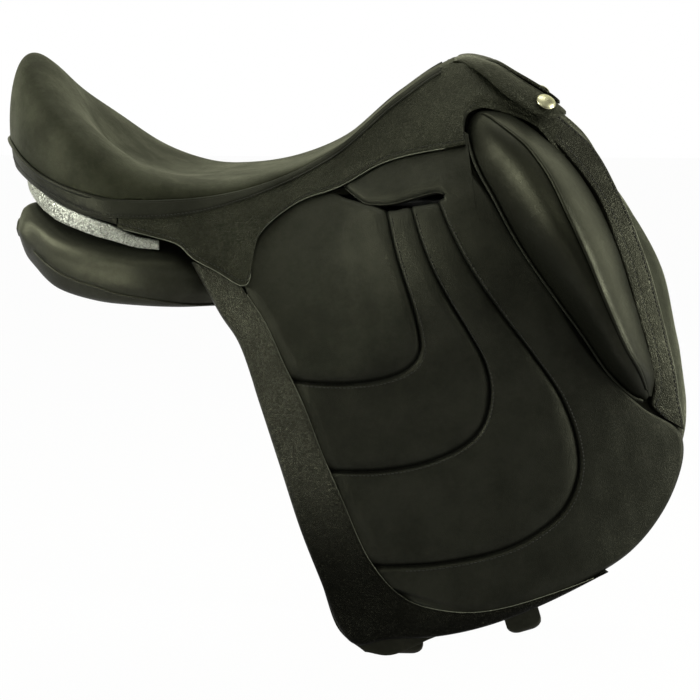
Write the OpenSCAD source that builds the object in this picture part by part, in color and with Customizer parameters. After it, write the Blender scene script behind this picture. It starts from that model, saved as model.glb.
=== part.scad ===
// Dressage saddle with a single long flap, an external knee block and quilted flap pads.
// Millimetres. X points forward, Y to the left, Z up; the origin lies on the symmetry plane,
// under the deepest point of the seat, level with the bearing line of the panels.

/* [Seat] */
// thickness of the seat leather
cover_t = 3; // [2:0.1:4]
// thickness of the seat foam
foam_t = 10; // [7:0.5:11]
// thickness of the webbing under the foam
web_t = 1.6; // [1:0.1:2]
// thickness of the tree laminate
tree_t = 9; // [7:0.5:10]
// diameter of the piping round the seat
welt_d = 4.4; // [3.4:0.2:5]
// thickness of the skirt leather
skirt_t = 3; // [2:0.1:3.6]
// thickness of the leather on the back of the cantle
facing_t = 4; // [3:0.2:4.4]
// thickness of the decorative cantle band
band_t = 4; // [3:0.2:5]
// thickness of the pommel strap
strip_t = 3; // [2:0.1:4]

/* [Flap] */
// thickness of the flap leather
flap_t = 4; // [3:0.2:4.4]
// depth of the quilted pad over the flap
pad_t = 9.5; // [8:0.5:11]
// depth of the stitched channels in the pad
groove = 6; // [3:0.5:6.5]
// thickness of the edge strips
edge_t = 5.5; // [4:0.5:7]
// thickness of the leather over the stirrup bar
lip_t = 5; // [4:0.2:6]
// thickness of the sweat flap
sweat_t = 3; // [2:0.2:4]
// how far the knee block stands out
block_h = 56; // [36:1:64]
// diameter of the piping on the knee block
block_welt_d = 3.2; // [2.4:0.2:4]

/* [Panel] */
// width below which the panel's edges are rounded more tightly
panel_full_w = 40; // [30:1:44]
// height below which the panel's edges are rounded more tightly
panel_full_h = 26; // [18:1:27]

/* [Straps] */
// breadth of a girth strap
girth_w = 30; // [26:1:34]
// thickness of a girth strap
girth_t = 3.5; // [3:0.1:4]
// diameter of a girth strap hole
hole_d = 6; // [4:0.2:7]
// distance between girth strap holes
hole_step = 25; // [22:1:28]
// height of the lowest strap hole over the fold
hole_rise = 8; // [7:0.5:12]
// open width of the fold at the foot of a strap
fold_gap = 2.5; // [2:0.1:3]

/* [Metal] */
// diameter of the pommel stud
stud_d = 17; // [14:0.5:19]
// free space between the stirrup bar and its plate, for the leather
leather_gap = 9; // [7:0.5:10]
// diameter of the stirrup bar
bar_d = 10; // [8:0.5:11]
// thickness of the stirrup bar plate
plate_t = 3.5; // [3:0.1:4]
// diameter of the catch pin
pin_d = 4; // [3:0.1:5]
// free space round the pin
pin_clear = 0.3; // [0.2:0.05:0.4]
// thickness of the catch lever
catch_t = 3; // [2.5:0.1:3.5]
// length of the catch lever
catch_len = 22; // [18:0.5:26]
// diameter of a rivet shank
rivet_d = 5; // [4:0.2:6]
// free space round a rivet shank
rivet_clear = 0.2; // [0.15:0.05:0.4]
// thickness of the steel head plate
head_t = 3; // [2:0.2:3.6]
// thickness of the steel gullet plate
gullet_t = 4; // [3:0.2:5]

/* [Hidden] */
gap = 0.5;
cover_gap = 1.8;
web_gap = 1.7;
tree_gap = 1.2;
flap_gap = 2.5;
welt_gap = 2.2;
flap_out = -pad_t - flap_gap;
flap_in = flap_out - flap_t;
girth_out = flap_in - 0.6;
edge_in = flap_out + 0.9;
point_out = -38;
point_t = 6;
black = [0.10, 0.10, 0.09];
grain = [0.15, 0.15, 0.13];
steel = [0.72, 0.72, 0.74];
wood = [0.22, 0.17, 0.13];
cream = [0.40, 0.40, 0.38];
canvas = [0.18, 0.18, 0.17];

// smooth curve through listed points, t from 0 to 1
function knot(p, i) = i < 0 ? 2 * p[0] - p[1]
    : i > len(p) - 1 ? 2 * p[len(p) - 1] - p[len(p) - 2] : p[i];
function blend4(a, b, c, d, t) = 0.5 * (2 * b + (c - a) * t + (2 * a - 5 * b + 4 * c - d) * t * t
    + (3 * b - a - 3 * c + d) * t * t * t);
function smooth(p, t) = let (n = len(p) - 1, i = min(n - 1, max(0, floor(t * n))))
    blend4(knot(p, i - 1), knot(p, i), knot(p, i + 1), knot(p, i + 2), t * n - i);
function ramp(a, b, x) = let (t = min(1, max(0, (x - a) / (b - a)))) t * t * (3 - 2 * t);
function unit(v) = v / norm(v);
function steps(n) = [for (i = [0 : n]) i / n];

// outer side surface of the saddle: height and half breadth of its top line every 50 mm of length
top_z = [118, 105, 93, 90, 93, 106, 132, 174, 204, 196, 166, 122, 80];
top_y = [110, 125, 138, 132, 116, 95, 75, 58, 45, 50, 66, 86, 106];
function along(x) = min(1, max(0, (x + 200) / 600));
function low_y(x) = 178 - 0.0013 * pow(max(0, x - 230), 2);
function side_y(x, z) = let (y = smooth(top_y, along(x)),
    t = min(1, max(0, (smooth(top_z, along(x)) - z) / 205)))
    y + (low_y(x) - y) * (1 - (1 - t) * (1 - t)) + 0.05 * max(0, -60 - z);
function side_n(x, z) = let (a = (side_y(x + 2, z) - side_y(x - 2, z)) / 4,
    b = (side_y(x, z + 2) - side_y(x, z - 2)) / 4) unit([-a, 1, -b]);
function on_side(p, t) = [p[0], side_y(p[0], p[1]), p[1]] + t * side_n(p[0], p[1]);

// closed solids from rows of points
function strip_faces(a, b, n) = [for (j = [0 : n - 2])
    each [[a + j, b + j, b + j + 1], [a + j, b + j + 1, a + j + 1]]];
function total(v) = v * [for (x = v) 1];
function volume(p, f) = total([for (t = f) cross(p[t[0]], p[t[1]]) * p[t[2]]]);
function turned(f) = [for (t = f) [t[2], t[1], t[0]]];
module solid(p, f) {
    polyhedron(points = p, faces = volume(p, f) > 0 ? turned(f) : f);
}
module slab(a, b) {
    m = len(a);
    n = len(a[0]);
    k = m * n;
    rows = concat([for (r = a) each r], [for (r = b) each r]);
    outer = [for (i = [0 : m - 2]) each strip_faces(i * n, i * n + n, n)];
    inner = turned([for (i = [0 : m - 2]) each strip_faces(k + i * n, k + i * n + n, n)]);
    ends = concat(turned(strip_faces(0, k, n)), strip_faces(k - n, 2 * k - n, n));
    sides = [for (i = [0 : m - 2]) each [
        [i * n, k + i * n + n, k + i * n], [i * n, i * n + n, k + i * n + n]]];
    far = [for (i = [0 : m - 2]) let (s = n - 1) each [
        [i * n + s, k + i * n + s, k + i * n + n + s], [i * n + s, k + i * n + n + s, i * n + n + s]]];
    solid(rows, concat(outer, inner, ends, turned(sides), turned(far)));
}
module loft(rings) {
    m = len(rings);
    n = len(rings[0]);
    first = [for (i = [0 : 2]) total([for (p = rings[0]) p[i]]) / n];
    last = [for (i = [0 : 2]) total([for (p = rings[m - 1]) p[i]]) / n];
    pts = concat([for (r = rings) each r], [first, last]);
    walls = [for (i = [0 : m - 2]) for (j = [0 : n - 1]) let (a = i * n, b = a + n, q = (j + 1) % n)
        each [[a + j, b + j, b + q], [a + j, b + q, a + q]]];
    cap0 = [for (j = [0 : n - 1]) [m * n, j, (j + 1) % n]];
    cap1 = [for (j = [0 : n - 1]) [m * n + 1, (m - 1) * n + (j + 1) % n, (m - 1) * n + j]];
    solid(pts, concat(walls, cap0, cap1));
}
// round cord along a path
function cord_ring(path, i, r, n) = let (a = path[max(0, i - 1)], b = path[min(len(path) - 1, i + 1)],
    t = unit(b - a), s = unit(cross(t, [0.1, 0.2, 1])), u = cross(s, t))
    [for (j = [0 : n - 1]) path[i] + r * (cos(360 * j / n) * s + sin(360 * j / n) * u)];
module cord(path, r, n) {
    loft([for (i = [0 : len(path) - 1]) cord_ring(path, i, r, n)]);
}
// patch inside four edges
function patch(left, right, low, high, u, v) = let (l = smooth(left, v), r = smooth(right, v),
    b = smooth(low, u), h = smooth(high, u), a0 = left[0], a1 = left[len(left) - 1],
    b0 = right[0], b1 = right[len(right) - 1])
    (1 - u) * l + u * r + (1 - v) * h + v * b
    - ((1 - u) * (1 - v) * a0 + (1 - u) * v * a1 + u * (1 - v) * b0 + u * v * b1);
function patch_sheet(left, right, low, high, m, n, t) = [for (u = steps(m)) [for (v = steps(n))
    on_side(patch(left, right, low, high, u, v), t)]];
module other_side() {
    mirror([0, 1, 0]) children();
}
// frame standing on the side surface: X along, Y outward, Z up the surface, turned about the outward axis
module on_surface(x, z, turn) {
    n = side_n(x, z);
    a = unit([n[1], -n[0], 0]);
    u = cross(a, n);
    o = [x, side_y(x, z), z];
    multmatrix([[a[0], n[0], u[0], o[0]], [a[1], n[1], u[1], o[1]], [a[2], n[2], u[2], o[2]], [0, 0, 0, 1]])
        rotate([0, turn, 0]) children();
}

// edge of the seat from the pommel to the middle of the cantle
seat_edge = concat([for (x = [196 : -24 : -92]) [x, smooth(top_y, along(x)), smooth(top_z, along(x))]],
    [[-115, 136, 97.5], [-137, 124, 104], [-159, 100, 112], [-177, 73, 122], [-190, 45, 131],
    [-198, 18, 135], [-200, 0, 136]]);
centre_x = [196, 150, 104, 58, 14, -28, -58, -84, -100, -107, -110];
centre_z = [199, 173, 134, 115, 106, 101, 103, 112, 120, 126, 128];
roll = [3, 3, 4, 8, 14, 26, 56, 95, 115, 127, 132];
shoulder = [0, 0, 0, 0, 0, 1, 3, 14, 42, 76, 91];
inner_rise = [0, 0, 0, 0, 0, 0, 0, 1, 2, 3, 4];
lean = [0, 0, 0, 0, 0, 1, 3, 5, 6, 6, 6];
// seat surface: u from pommel to cantle, v from the middle line to the edge, k millimetres inward
function seat(u, v, k) = let (c = [smooth(centre_x, u), 0, smooth(centre_z, u)], w = smooth(seat_edge, u),
    f = [w[0] - c[0], w[1] - c[1], 0], d = -unit(f), s = ramp(0.42, 0.78, u), r = 1 - v,
    p0 = c - [0, 0, k], p4 = w + d * k * (0.2 + 0.8 * s) - [0, 0, k * (1 - 0.9 * s)],
    p1 = p0 + f * (0.25 - 0.08 * s) + [0, 0, smooth(inner_rise, u)],
    p2 = p0 + f * (0.6 - 0.16 * s) + [0, 0, smooth(shoulder, u) - 0.2 * k * s],
    p3 = p4 - d * smooth(lean, u) + [0, 0, smooth(roll, u) - 1.3 * k * s])
    p0 * pow(r, 4) + 4 * p1 * pow(r, 3) * v + 6 * p2 * r * r * v * v
    + 4 * p3 * r * pow(v, 3) + p4 * pow(v, 4);
function flip_y(p) = [p[0], -p[1], p[2]];
// rows that run round the horseshoe from the right pommel by the cantle to the left pommel
function round_row(w, vs, k) = let (u = 1 - abs(1 - w)) [for (v = vs) let (p = seat(u, v, k))
    w > 1 ? p : flip_y(p)];

// sheet over the whole seat, both halves sharing the middle line and, at u = 1, the middle of the cantle
module seat_shell(us, vs, k0, k1) {
    n = len(us) - 1;
    m = len(vs) - 1;
    half = (n + 1) * (m + 1);
    joined = us[n] > 0.999;
    k = half + (joined ? n : n + 1) * m;
    layer = function (d) concat([for (u = us) seat(u, 0, d)],
        [for (u = us) for (j = [1 : m]) flip_y(seat(u, vs[j], d))],
        [for (i = [0 : joined ? n - 1 : n]) for (j = [1 : m]) seat(us[i], vs[j], d)]);
    right = function (i, j) j == 0 ? i : n + i * m + j;
    left = function (i, j) j == 0 ? i : joined && i == n ? n + i * m + j : half + i * m + j - 1;
    outer = [for (i = [0 : n - 1]) for (j = [0 : m - 1]) each [
        [right(i, j), right(i + 1, j), right(i, j + 1)],
        [right(i + 1, j), right(i + 1, j + 1), right(i, j + 1)],
        [left(i, j), left(i, j + 1), left(i + 1, j)],
        [left(i + 1, j), left(i, j + 1), left(i + 1, j + 1)]]];
    inner = [for (t = outer) [k + t[2], k + t[1], k + t[0]]];
    rear = joined ? [for (i = [n - 1 : -1 : 0]) left(i, m)]
        : concat([for (j = [m - 1 : -1 : 0]) right(n, j)], [for (j = [1 : m]) left(n, j)],
            [for (i = [n - 1 : -1 : 0]) left(i, m)]);
    rim = concat([for (i = [0 : n]) right(i, m)], rear,
        [for (j = [m - 1 : -1 : 0]) left(0, j)], [for (j = [1 : m - 1]) right(0, j)]);
    wall = [for (i = [0 : len(rim) - 1]) let (p = rim[i], q = rim[(i + 1) % len(rim)])
        each [[p, q, q + k], [p, q + k, p + k]]];
    solid(concat(layer(k0), layer(k1)), concat(outer, inner, wall));
}
module seat_cover() {
    color(black) seat_shell(steps(22), [0, 0.2, 0.36, 0.5, 0.62, 0.72, 0.81, 0.9, 1], 0, cover_t);
}
foam_out = cover_t + cover_gap;
foam_in = foam_out + foam_t;
module seat_foam() {
    us = [for (u = steps(18)) 0.02 + 0.98 * u];
    color(cream) seat_shell(us, [0, 0.25, 0.45, 0.6, 0.74, 0.86], foam_out, foam_in);
}
web_out = foam_in + web_gap;
module seat_webbing() {
    us = [for (u = steps(10)) 0.06 + 0.7 * u];
    color(canvas) seat_shell(us, [0, 0.24, 0.46], web_out, web_out + web_t);
}
tree_out = web_out + web_t + tree_gap;
tree_in = tree_out + tree_t;
module tree() {
    ws = [for (w = steps(36)) 0.03 + 1.94 * w];
    vs = [0.34, 0.5, 0.66, 0.8];
    color(wood) slab([for (w = ws) round_row(w, vs, tree_out)], [for (w = ws) round_row(w, vs, tree_in)]);
}
steel_out = tree_in + tree_gap;
module spring_steel() {
    ws = [for (w = steps(10)) 0.12 + 0.5 * w];
    vs = [0.44, 0.56];
    slab([for (w = ws) round_row(w, vs, steel_out)], [for (w = ws) round_row(w, vs, steel_out + 2)]);
}
module spring_steels() {
    color(steel) {
        spring_steel();
        other_side() spring_steel();
    }
}
// piping round the seat, beside the edge at the waist and under it at the cantle
function welt_pt(u) = let (p = smooth(seat_edge, u), s = ramp(0.42, 0.78, u), r = welt_d / 2,
    o = unit([min(0, p[0] + 60), p[1] + 0.01, 0]))
    p + o * ((r + 0.4) * (1 - s) + 0.4 * s) - [0, 0, 1.4 * (1 - s) + (r + 0.6) * s];
module seat_welt() {
    path = [for (w = steps(52)) let (p = welt_pt(1 - abs(1 - 2 * w))) w > 0.5 ? p : flip_y(p)];
    color(black) cord(path, welt_d / 2, 6);
}
// leather below the seat edge: the skirt, its lower edge listed from the back to the front
skirt_high = [[-82, 85.5], [-60, 84.5], [-35, 84.5], [-10, 86.5], [15, 90.5], [40, 97.5], [65, 106.5],
    [90, 120.5], [115, 139.5], [140, 159.5], [165, 181.5], [190, 196.5]];
skirt_low = [[-84, 67], [-56, 60], [-34, 53], [-20, 41], [0, 30.5], [20, 19.5], [27.5, 25], [26, 42],
    [32, 57], [45, 71.5], [69, 87], [102, 98.5], [135, 117], [164, 126.5], [207.5, 135]];
skirt_nose_high = [[190, 198], [202, 199], [215, 197], [228, 191], [240, 183], [252, 174], [264, 163]];
skirt_nose_low = [[207.5, 135], [206, 148], [208.5, 161.5], [221, 167], [234, 164.5],
    [247, 161.5], [260, 155]];
function between(a, b, n) = [for (v = steps(n)) a * (1 - v) + b * v];
function skirt_row(a, b, t) = [for (p = between(a, b, 4)) on_side(p, t)];
function skirt_grid(t) = concat(
    [for (u = steps(33)) skirt_row(smooth(skirt_high, u), smooth(skirt_low, u), t)],
    [for (i = [1 : 9]) skirt_row(smooth(skirt_nose_high, i / 9), smooth(skirt_nose_low, i / 9), t)]);
module skirt_left() {
    color(grain) slab(skirt_grid(1 + skirt_t), skirt_grid(1));
}
module skirt_right() {
    other_side() skirt_left();
}

// back of the cantle, from the seat piping down to the band
facing_low = [[-85.2, 141.5, 69.6], [-102, 138.5, 74], [-119, 132, 78], [-137, 120, 85], [-157, 98, 93],
    [-174, 72, 101], [-187, 44, 107], [-194, 18, 110], [-196, 0, 111]];
facing_high = [[-83.4, 141, 85.6], [-102, 138.5, 88.8], [-117, 133.5, 92.8], [-137, 122, 98.8],
    [-158, 98.5, 106.8], [-176, 72, 116.8], [-188.5, 44, 125.8], [-196.5, 18, 129.8], [-198.5, 0, 130.8]];
function outward(p) = unit([p[0] + 80, p[1], 0]);
function ring_pt(p, d) = p + d * outward(p);
function round_pt(a, w) = let (p = smooth(a, 1 - abs(1 - w))) w > 1 ? p : flip_y(p);
function facing_grid(d) = [for (w = steps(32)) [for (v = steps(2)) let (p = round_pt(facing_high, 2 * w),
    q = round_pt(facing_low, 2 * w)) ring_pt(p * (1 - v) + q * v, d + 5 * v * (1 - v))]];
module cantle_facing() {
    color(black) slab(facing_grid(0), facing_grid(-facing_t));
}
band_high = [[-50, 137, 56], [-70, 138, 60], [-90, 137, 68.5], [-104, 135, 73], [-121, 128.5, 78.5],
    [-140, 115, 85], [-157, 93, 92.5], [-170, 66, 100], [-178, 41, 106], [-182, 17, 109], [-183, 0, 110]];
band_low = [[-50, 138, 48], [-70, 139, 50], [-90, 138, 55.5], [-104, 136, 59], [-121, 129.5, 64],
    [-140, 116, 70], [-157, 94, 78], [-170, 67, 86], [-178, 42, 92], [-182, 17, 95], [-183, 0, 96]];
function band_grid(d) = [for (w = steps(32)) [for (v = steps(2)) let (p = round_pt(band_high, 2 * w),
    q = round_pt(band_low, 2 * w)) ring_pt(p * (1 - v) + q * v, d + 4 * v * (1 - v))]];
module cantle_band() {
    color([0.75, 0.75, 0.72]) slab(band_grid(0), band_grid(-band_t));
}

// steel and wood of the pommel arch
arch = [[0, 172], [26, 169], [50, 156], [70, 131], [90, 97], [106, 62]];
function arch_out(d, i) = let (t = unit(arch[min(len(arch) - 1, i + 1)] - arch[max(0, i - 1)]))
    i == 0 ? [0, arch[0][1] + d] : arch[i] + d * [-t[1], t[0]];
function arch_curve(d) = let (p = [for (i = [0 : 5]) arch_out(d, i)]) [for (t = steps(10)) smooth(p, t)];
function reversed(p) = [for (i = [len(p) - 1 : -1 : 0]) p[i]];
function arch_shape(a, b) = let (o = arch_curve(b), i = arch_curve(a)) concat(
    [for (p = reversed(o)) [-p[0], p[1]]], [for (k = [1 : len(o) - 1]) o[k]],
    reversed(i), [for (k = [1 : len(i) - 1]) [-i[k][0], i[k][1]]]);
module arch_bar(x, depth, a, b) {
    translate([x, 0, 0]) rotate([90, 0, 90]) linear_extrude(height = depth) polygon(arch_shape(a, b));
}
head_x = 208;
head_len = 40;
head_thick = 10;
function arch_at(y) = let (p = [for (t = steps(40)) smooth(arch, t)]) lookup(y, [for (q = p) [q[0], q[1]]]);
// places where rivets go through the arch, with the direction square to it
module at_head_rivets(s) {
    for (y = [72, 92])
        let (turn = atan2(6, arch_at(y - 3) - arch_at(y + 3)))
            translate([head_x + head_len / 2, s * y, arch_at(y)])
                rotate([s * (turn - 90), 0, 0]) children();
}
module tree_head() {
    color(wood) difference() {
        arch_bar(head_x, head_len, -head_thick, 0);
        for (s = [-1, 1])
            at_head_rivets(s) cylinder(d = rivet_d + 2 * rivet_clear, h = 60, center = true, $fn = 32);
    }
}
module head_plate() {
    color(steel) difference() {
        arch_bar(head_x + 4, head_len - 8, gap, gap + head_t);
        for (s = [-1, 1])
            at_head_rivets(s) cylinder(d = rivet_d + 2 * rivet_clear, h = 60, center = true, $fn = 32);
    }
}
module gullet_plate() {
    color(steel) difference() {
        arch_bar(head_x + 4, head_len - 8, -head_thick - gap - gullet_t, -head_thick - gap);
        for (s = [-1, 1])
            at_head_rivets(s) cylinder(d = rivet_d + 2 * rivet_clear, h = 60, center = true, $fn = 32);
    }
}
module pommel_cover() {
    color(black) arch_bar(head_x + 1, head_len + 12, gap + head_t + 3.5, gap + head_t + 6);
}

// strap round the cut-back pommel, lower edge on the skirt, upper edge along the cut-back
strap_low = [[285, 150.5], [270.5, 153], [253.5, 162], [237.5, 172.5], [219.5, 188.5]];
strap_low_top = [[203, 49, 204.4], [200.5, 28, 205], [199.5, 0, 205.4]];
strap_high = [[296, 75, 158], [284.5, 78, 167], [268, 74, 177.5], [251, 66, 187.5], [235, 50, 197.5],
    [226, 30, 202], [221, 12, 204], [219.5, 0, 204.5]];
strap_gap = 3;
strap_foot = concat([for (p = strap_low) on_side(p, 1 + skirt_t + strap_gap)], strap_low_top);
function strap_bulge(v) = 12 * v * (1 - v);
// breadth at a distance w from the end, which is round
function strap_share(w) = let (e = min(1, w / 0.12)) max(0.3, sqrt(1 - (1 - e) * (1 - e)));
function strap_pt(w, v, d) = let (s = 0.5 + (v - 0.5) * strap_share(1 - abs(1 - w)))
    round_pt(strap_foot, w) * (1 - s) + round_pt(strap_high, w) * s + [0, 0, strap_bulge(s) + d];
strap_ws = [for (w = steps(30)) let (a = 2 * w - 1) 1 + a * (1 - 0.25 * (1 - abs(a)) * abs(a))];
function strap_grid(d) = [for (w = strap_ws) [for (v = steps(3)) strap_pt(w, v, d)]];
module pommel_strap() {
    color(grain) slab(strap_grid(strip_t), strap_grid(0));
}
// domed stud on each end of the strap
stud_w = 0.172;
module stud_left() {
    across = strap_pt(2 - stud_w, 0.6, strip_t) - strap_pt(2 - stud_w, 0.4, strip_t);
    along_it = strap_pt(2 - stud_w - 0.05, 0.5, strip_t) - strap_pt(2 - stud_w + 0.05, 0.5, strip_t);
    n = unit(cross(across, along_it));
    up = n[2] < 0 ? -n : n;
    dome = [for (a = [0 : 15 : 75]) [stud_d / 2 * cos(a), 1 + 3 * sin(a)]];
    translate(strap_pt(2 - stud_w, 0.5, strip_t) - 0.1 * up) rotate(acos(up[2]), cross([0, 0, 1], up))
        rotate_extrude($fn = 48) polygon(concat([[0, 0]], dome, [[0, 4]]));
}
module pommel_studs() {
    color(steel) {
        stud_left();
        other_side() stud_left();
    }
}

// flap: rear, front, lower and upper edge as [x, z]
flap_rear = [[-18, 40], [2, 1], [21, -28], [38, -77], [54, -126], [72, -182], [90, -228], [104, -262],
    [120, -279]];
flap_front = [[288, 166], [320, 134], [345, 89], [367, 37], [380, -14], [391, -60], [398, -104],
    [386, -162], [340, -211]];
flap_low = [[120, -279], [150, -273], [186, -271], [226, -262], [274, -244], [314, -226], [340, -211]];
flap_high = [[-18, 40], [24, 46], [60, 68], [100, 80], [134, 75], [170, 75], [198, 84], [209, 128],
    [240, 152], [288, 166]];
function flap_grid(t) = patch_sheet(flap_rear, flap_front, flap_low, flap_high, 14, 13, t);
module flap_left() {
    color(black) slab(flap_grid(flap_out), flap_grid(flap_in));
}
module flap_right() {
    other_side() flap_left();
}

// quilted pad: five lines from the slot to the rear strip, the three between are stitched channels
line_0 = [[96, 95.5], [91, 97], [82, 96], [70, 93], [58, 87], [47, 78], [38, 69], [30, 58], [24, 47],
    [20, 36], [20, 26], [24, 16]];
line_1 = [[141, 80.5], [145, 65.5], [150, 48], [157, 28], [164, 8], [170, -14], [171, -31], [163, -44],
    [146, -53], [122, -58], [94, -59], [65, -57]];
line_2 = [[162, 85], [170, 62], [180, 39], [195, 12], [211, -14], [225, -40], [230, -66], [224, -93],
    [207, -111], [176, -125], [138, -132], [96, -133]];
line_3 = [[184, 93], [197, 66], [216, 33], [240, -1], [266, -35], [289, -69], [303, -106], [304, -138],
    [288, -169], [248, -195], [192, -209], [134, -213]];
line_4 = [[214, 113], [229, 94], [250, 60], [282, 14], [316, -37], [356, -78], [394, -107], [386, -156],
    [350, -203], [292, -232], [222, -252], [156, -237]];
function pad_at(u, q) = smooth([for (l = [line_0, line_1, line_2, line_3, line_4]) smooth(l, u)], q / 4);
// height of the pad across one quilted roll, w from 0 to 1
function pillow(w) = 1 - pow(abs(1 - 2 * pow(w, 1.25)), 3.2);
pad_q = [0, 0.06, 0.16, 0.5, 0.82, 1, 1.13, 1.5, 1.82, 2, 2.13, 2.5, 2.82, 3, 3.1, 3.45, 3.8, 4];
function pad_top(u, q) = let (e = min(1, min(u, 1 - u) * 14))
    groove * (pillow(q - floor(q)) * (0.4 + 0.6 * e) - 1);
function pad_grid(t) = [for (u = steps(22)) [for (q = pad_q)
    on_side(pad_at(u, q), t == 0 ? pad_top(u, q) : t)]];
module flap_pad_left() {
    color(black) slab(pad_grid(0), pad_grid(-pad_t));
}
module flap_pad_right() {
    other_side() flap_pad_left();
}

// grained strips along the edges of the flap
rear_outer = [[-21, 41], [2, 0], [20, -28], [37, -77], [53, -126], [71, -182], [89, -228], [103, -264],
    [119, -281], [146, -276], [186, -273], [226, -264], [274, -246], [322, -226]];
rear_inner = [[16, 23], [38, -9], [54, -41], [71, -77], [88, -121], [105, -160], [120, -195], [133, -217],
    [151, -237], [172, -248], [206, -254], [240, -252], [286, -238], [323, -222.5]];
function edge_top(v) = -pad_t + edge_t - 2 * pow(abs(2 * v - 1), 4);
function ladder(a, b, m, n, t) = [for (u = steps(m)) [for (v = steps(n))
    on_side(smooth(a, u) * (1 - v) + smooth(b, u) * v, t == 0 ? edge_top(v) : t)]];
module rear_edge_left() {
    color(grain) slab(ladder(rear_outer, rear_inner, 30, 3, 0),
        ladder(rear_outer, rear_inner, 30, 3, edge_in));
}
module rear_edge_right() {
    other_side() rear_edge_left();
}
front_inner = [[261, 162], [292, 136], [324, 95], [340, 58], [350, 29], [358, 1], [366, -26], [371, -50],
    [372, -66], [368, -79], [378, -90]];
front_outer = [[287, 163], [320, 132], [344, 87], [357, 56], [366, 31], [374, 2], [381, -24], [388, -53],
    [391, -74], [394, -88], [396, -101]];
module front_edge_left() {
    color(grain) slab(ladder(front_inner, front_outer, 18, 3, 0),
        ladder(front_inner, front_outer, 18, 3, edge_in));
}
module front_edge_right() {
    other_side() front_edge_left();
}

// leather lip over the stirrup bar; the slot for the stirrup leather opens under it
lip_high = [[96, 109], [110, 124], [126, 132], [143, 139], [160, 145], [176, 147.5], [190, 148.5],
    [201, 147.5], [207.5, 142]];
lip_low = [[104.5, 100.5], [114.5, 93.5], [126, 88.5], [144, 88.5], [159, 92.3], [171, 95.9], [187, 99.2],
    [200, 104], [214, 114]];
function lip_grid(t) = [for (u = steps(16)) [for (v = steps(3))
    on_side(smooth(lip_high, u) * (1 - v) + smooth(lip_low, u) * v, t == 0 ? 0.4 * (1 - v) - 2 * pow(v, 6) : t)]];
module bar_cover_left() {
    color(black) slab(lip_grid(0), lip_grid(-lip_t));
}
module bar_cover_right() {
    other_side() bar_cover_left();
}

// knee block: rear foot, ridge and front foot, with the height of the ridge as a share of the full height
block_rear = [[212, 161], [209, 150], [212, 134], [219, 117], [232, 95], [247, 68], [263, 43], [284, 14],
    [306, -16], [327, -47], [347, -68], [361, -75]];
block_ridge = [[217, 165], [226, 164], [237, 158], [249, 150], [262, 139], [279, 116], [295, 84], [311, 50],
    [326, 14], [342, -22], [355, -46], [364, -70]];
block_front = [[222, 167], [234, 166], [247, 163], [259, 156], [275, 144], [296, 125], [317, 96], [336, 56],
    [351, 10], [363, -30], [369, -54], [367, -71]];
block_share = [0.04, 0.36, 0.6, 0.75, 0.86, 0.96, 1, 0.96, 0.86, 0.64, 0.4, 0.08];
function block_at(u, v) = v <= 1 ? smooth(block_rear, u) * (1 - v) + smooth(block_ridge, u) * v
    : smooth(block_ridge, u) * (2 - v) + smooth(block_front, u) * (v - 1);
block_foot = -pad_t + 5;
function block_out(u, v) = let (h = block_h * smooth(block_share, u))
    h * (v <= 1 ? sin(90 * v) : pow(max(0, cos(90 * (v - 1))), 0.8));
function block_pt(u, v) = on_side(block_at(u, v), block_foot) + [0, block_out(u, v), 0];
block_v = [0, 0.16, 0.36, 0.58, 0.8, 1, 1.3, 1.6, 1.85, 2];
module knee_block_left() {
    color(black) slab([for (u = steps(17)) [for (v = block_v) block_pt(u, v)]],
        [for (u = steps(17)) [for (v = block_v) on_side(block_at(u, v), -pad_t)]]);
}
module knee_block_right() {
    other_side() knee_block_left();
}
module knee_welt_left() {
    color(black) cord([for (u = steps(22)) let (w = 0.09 + 0.88 * u)
        block_pt(w, 1) + [0, welt_gap + block_welt_d / 2, 0]], block_welt_d / 2, 6);
}
module knee_welt_right() {
    other_side() knee_welt_left();
}

// panel stations along the saddle: x, inner y, outer y, inner low z, outer low z, outer top z, inner top z
panel_at = [[-180, 67, 86, 58, 53, 64, 68], [-175.5, 53, 97, 49, 41, 71, 76], [-166, 42, 106, 42, 30, 73, 80],
    [-142, 36, 128, 30, 13, 63, 80], [-106, 33, 143, 23, 4, 54, 77],
    [-70, 32, 149, 20, 1, 48, 74], [-35, 32, 143, 19, -1, 45, 72],
    [0, 32, 126, 20, -2, 34, 72], [35, 32, 118, 24, -4, 34, 75], [70, 32, 113, 30, -6, 35, 80],
    [105, 33, 110, 38, -8, 36, 86], [140, 35, 107, 48, -6, 38, 92], [175, 38, 103, 60, 0, 40, 99],
    [210, 42, 98, 74, 8, 42, 106], [245, 46, 92, 84, 22, 46, 108], [268, 52, 84, 92, 50, 62, 104]];
function panel_ring(s) = let (x = s[0], a = s[1], b = s[2],
    e = min(1, (b - a) / panel_full_w), f = min(1, (s[6] - s[3]) / panel_full_h), c = [
    [a, s[3] + 8 * f], [a + 14 * e, s[3] - 3 * f], [(a + b) / 2, (s[3] + s[4]) / 2 - 5 * f],
    [b - 16 * e, s[4] - 1], [b - 3 * e, s[4] + 10 * f], [b, (s[4] + s[5]) / 2 + 2 * f],
    [b - 6 * e, s[5] - 4 * f], [(a + b) / 2 + 4 * e, (s[5] + s[6]) / 2 + 3 * f], [a + 14 * e, s[6]],
    [a + 2 * e, s[6] - 10 * f], [a - e, (s[3] + s[6]) / 2]], n = len(c))
    [for (i = [0 : 21]) let (k = floor(i / 2),
        p = blend4(c[(k + n - 1) % n], c[k], c[(k + 1) % n], c[(k + 2) % n], (i % 2) / 2)) [x, p[0], p[1]]];
module panel_left() {
    color(black) loft([for (u = steps(24)) panel_ring(smooth(panel_at, u))]);
}
module panel_right() {
    other_side() panel_left();
}

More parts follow.
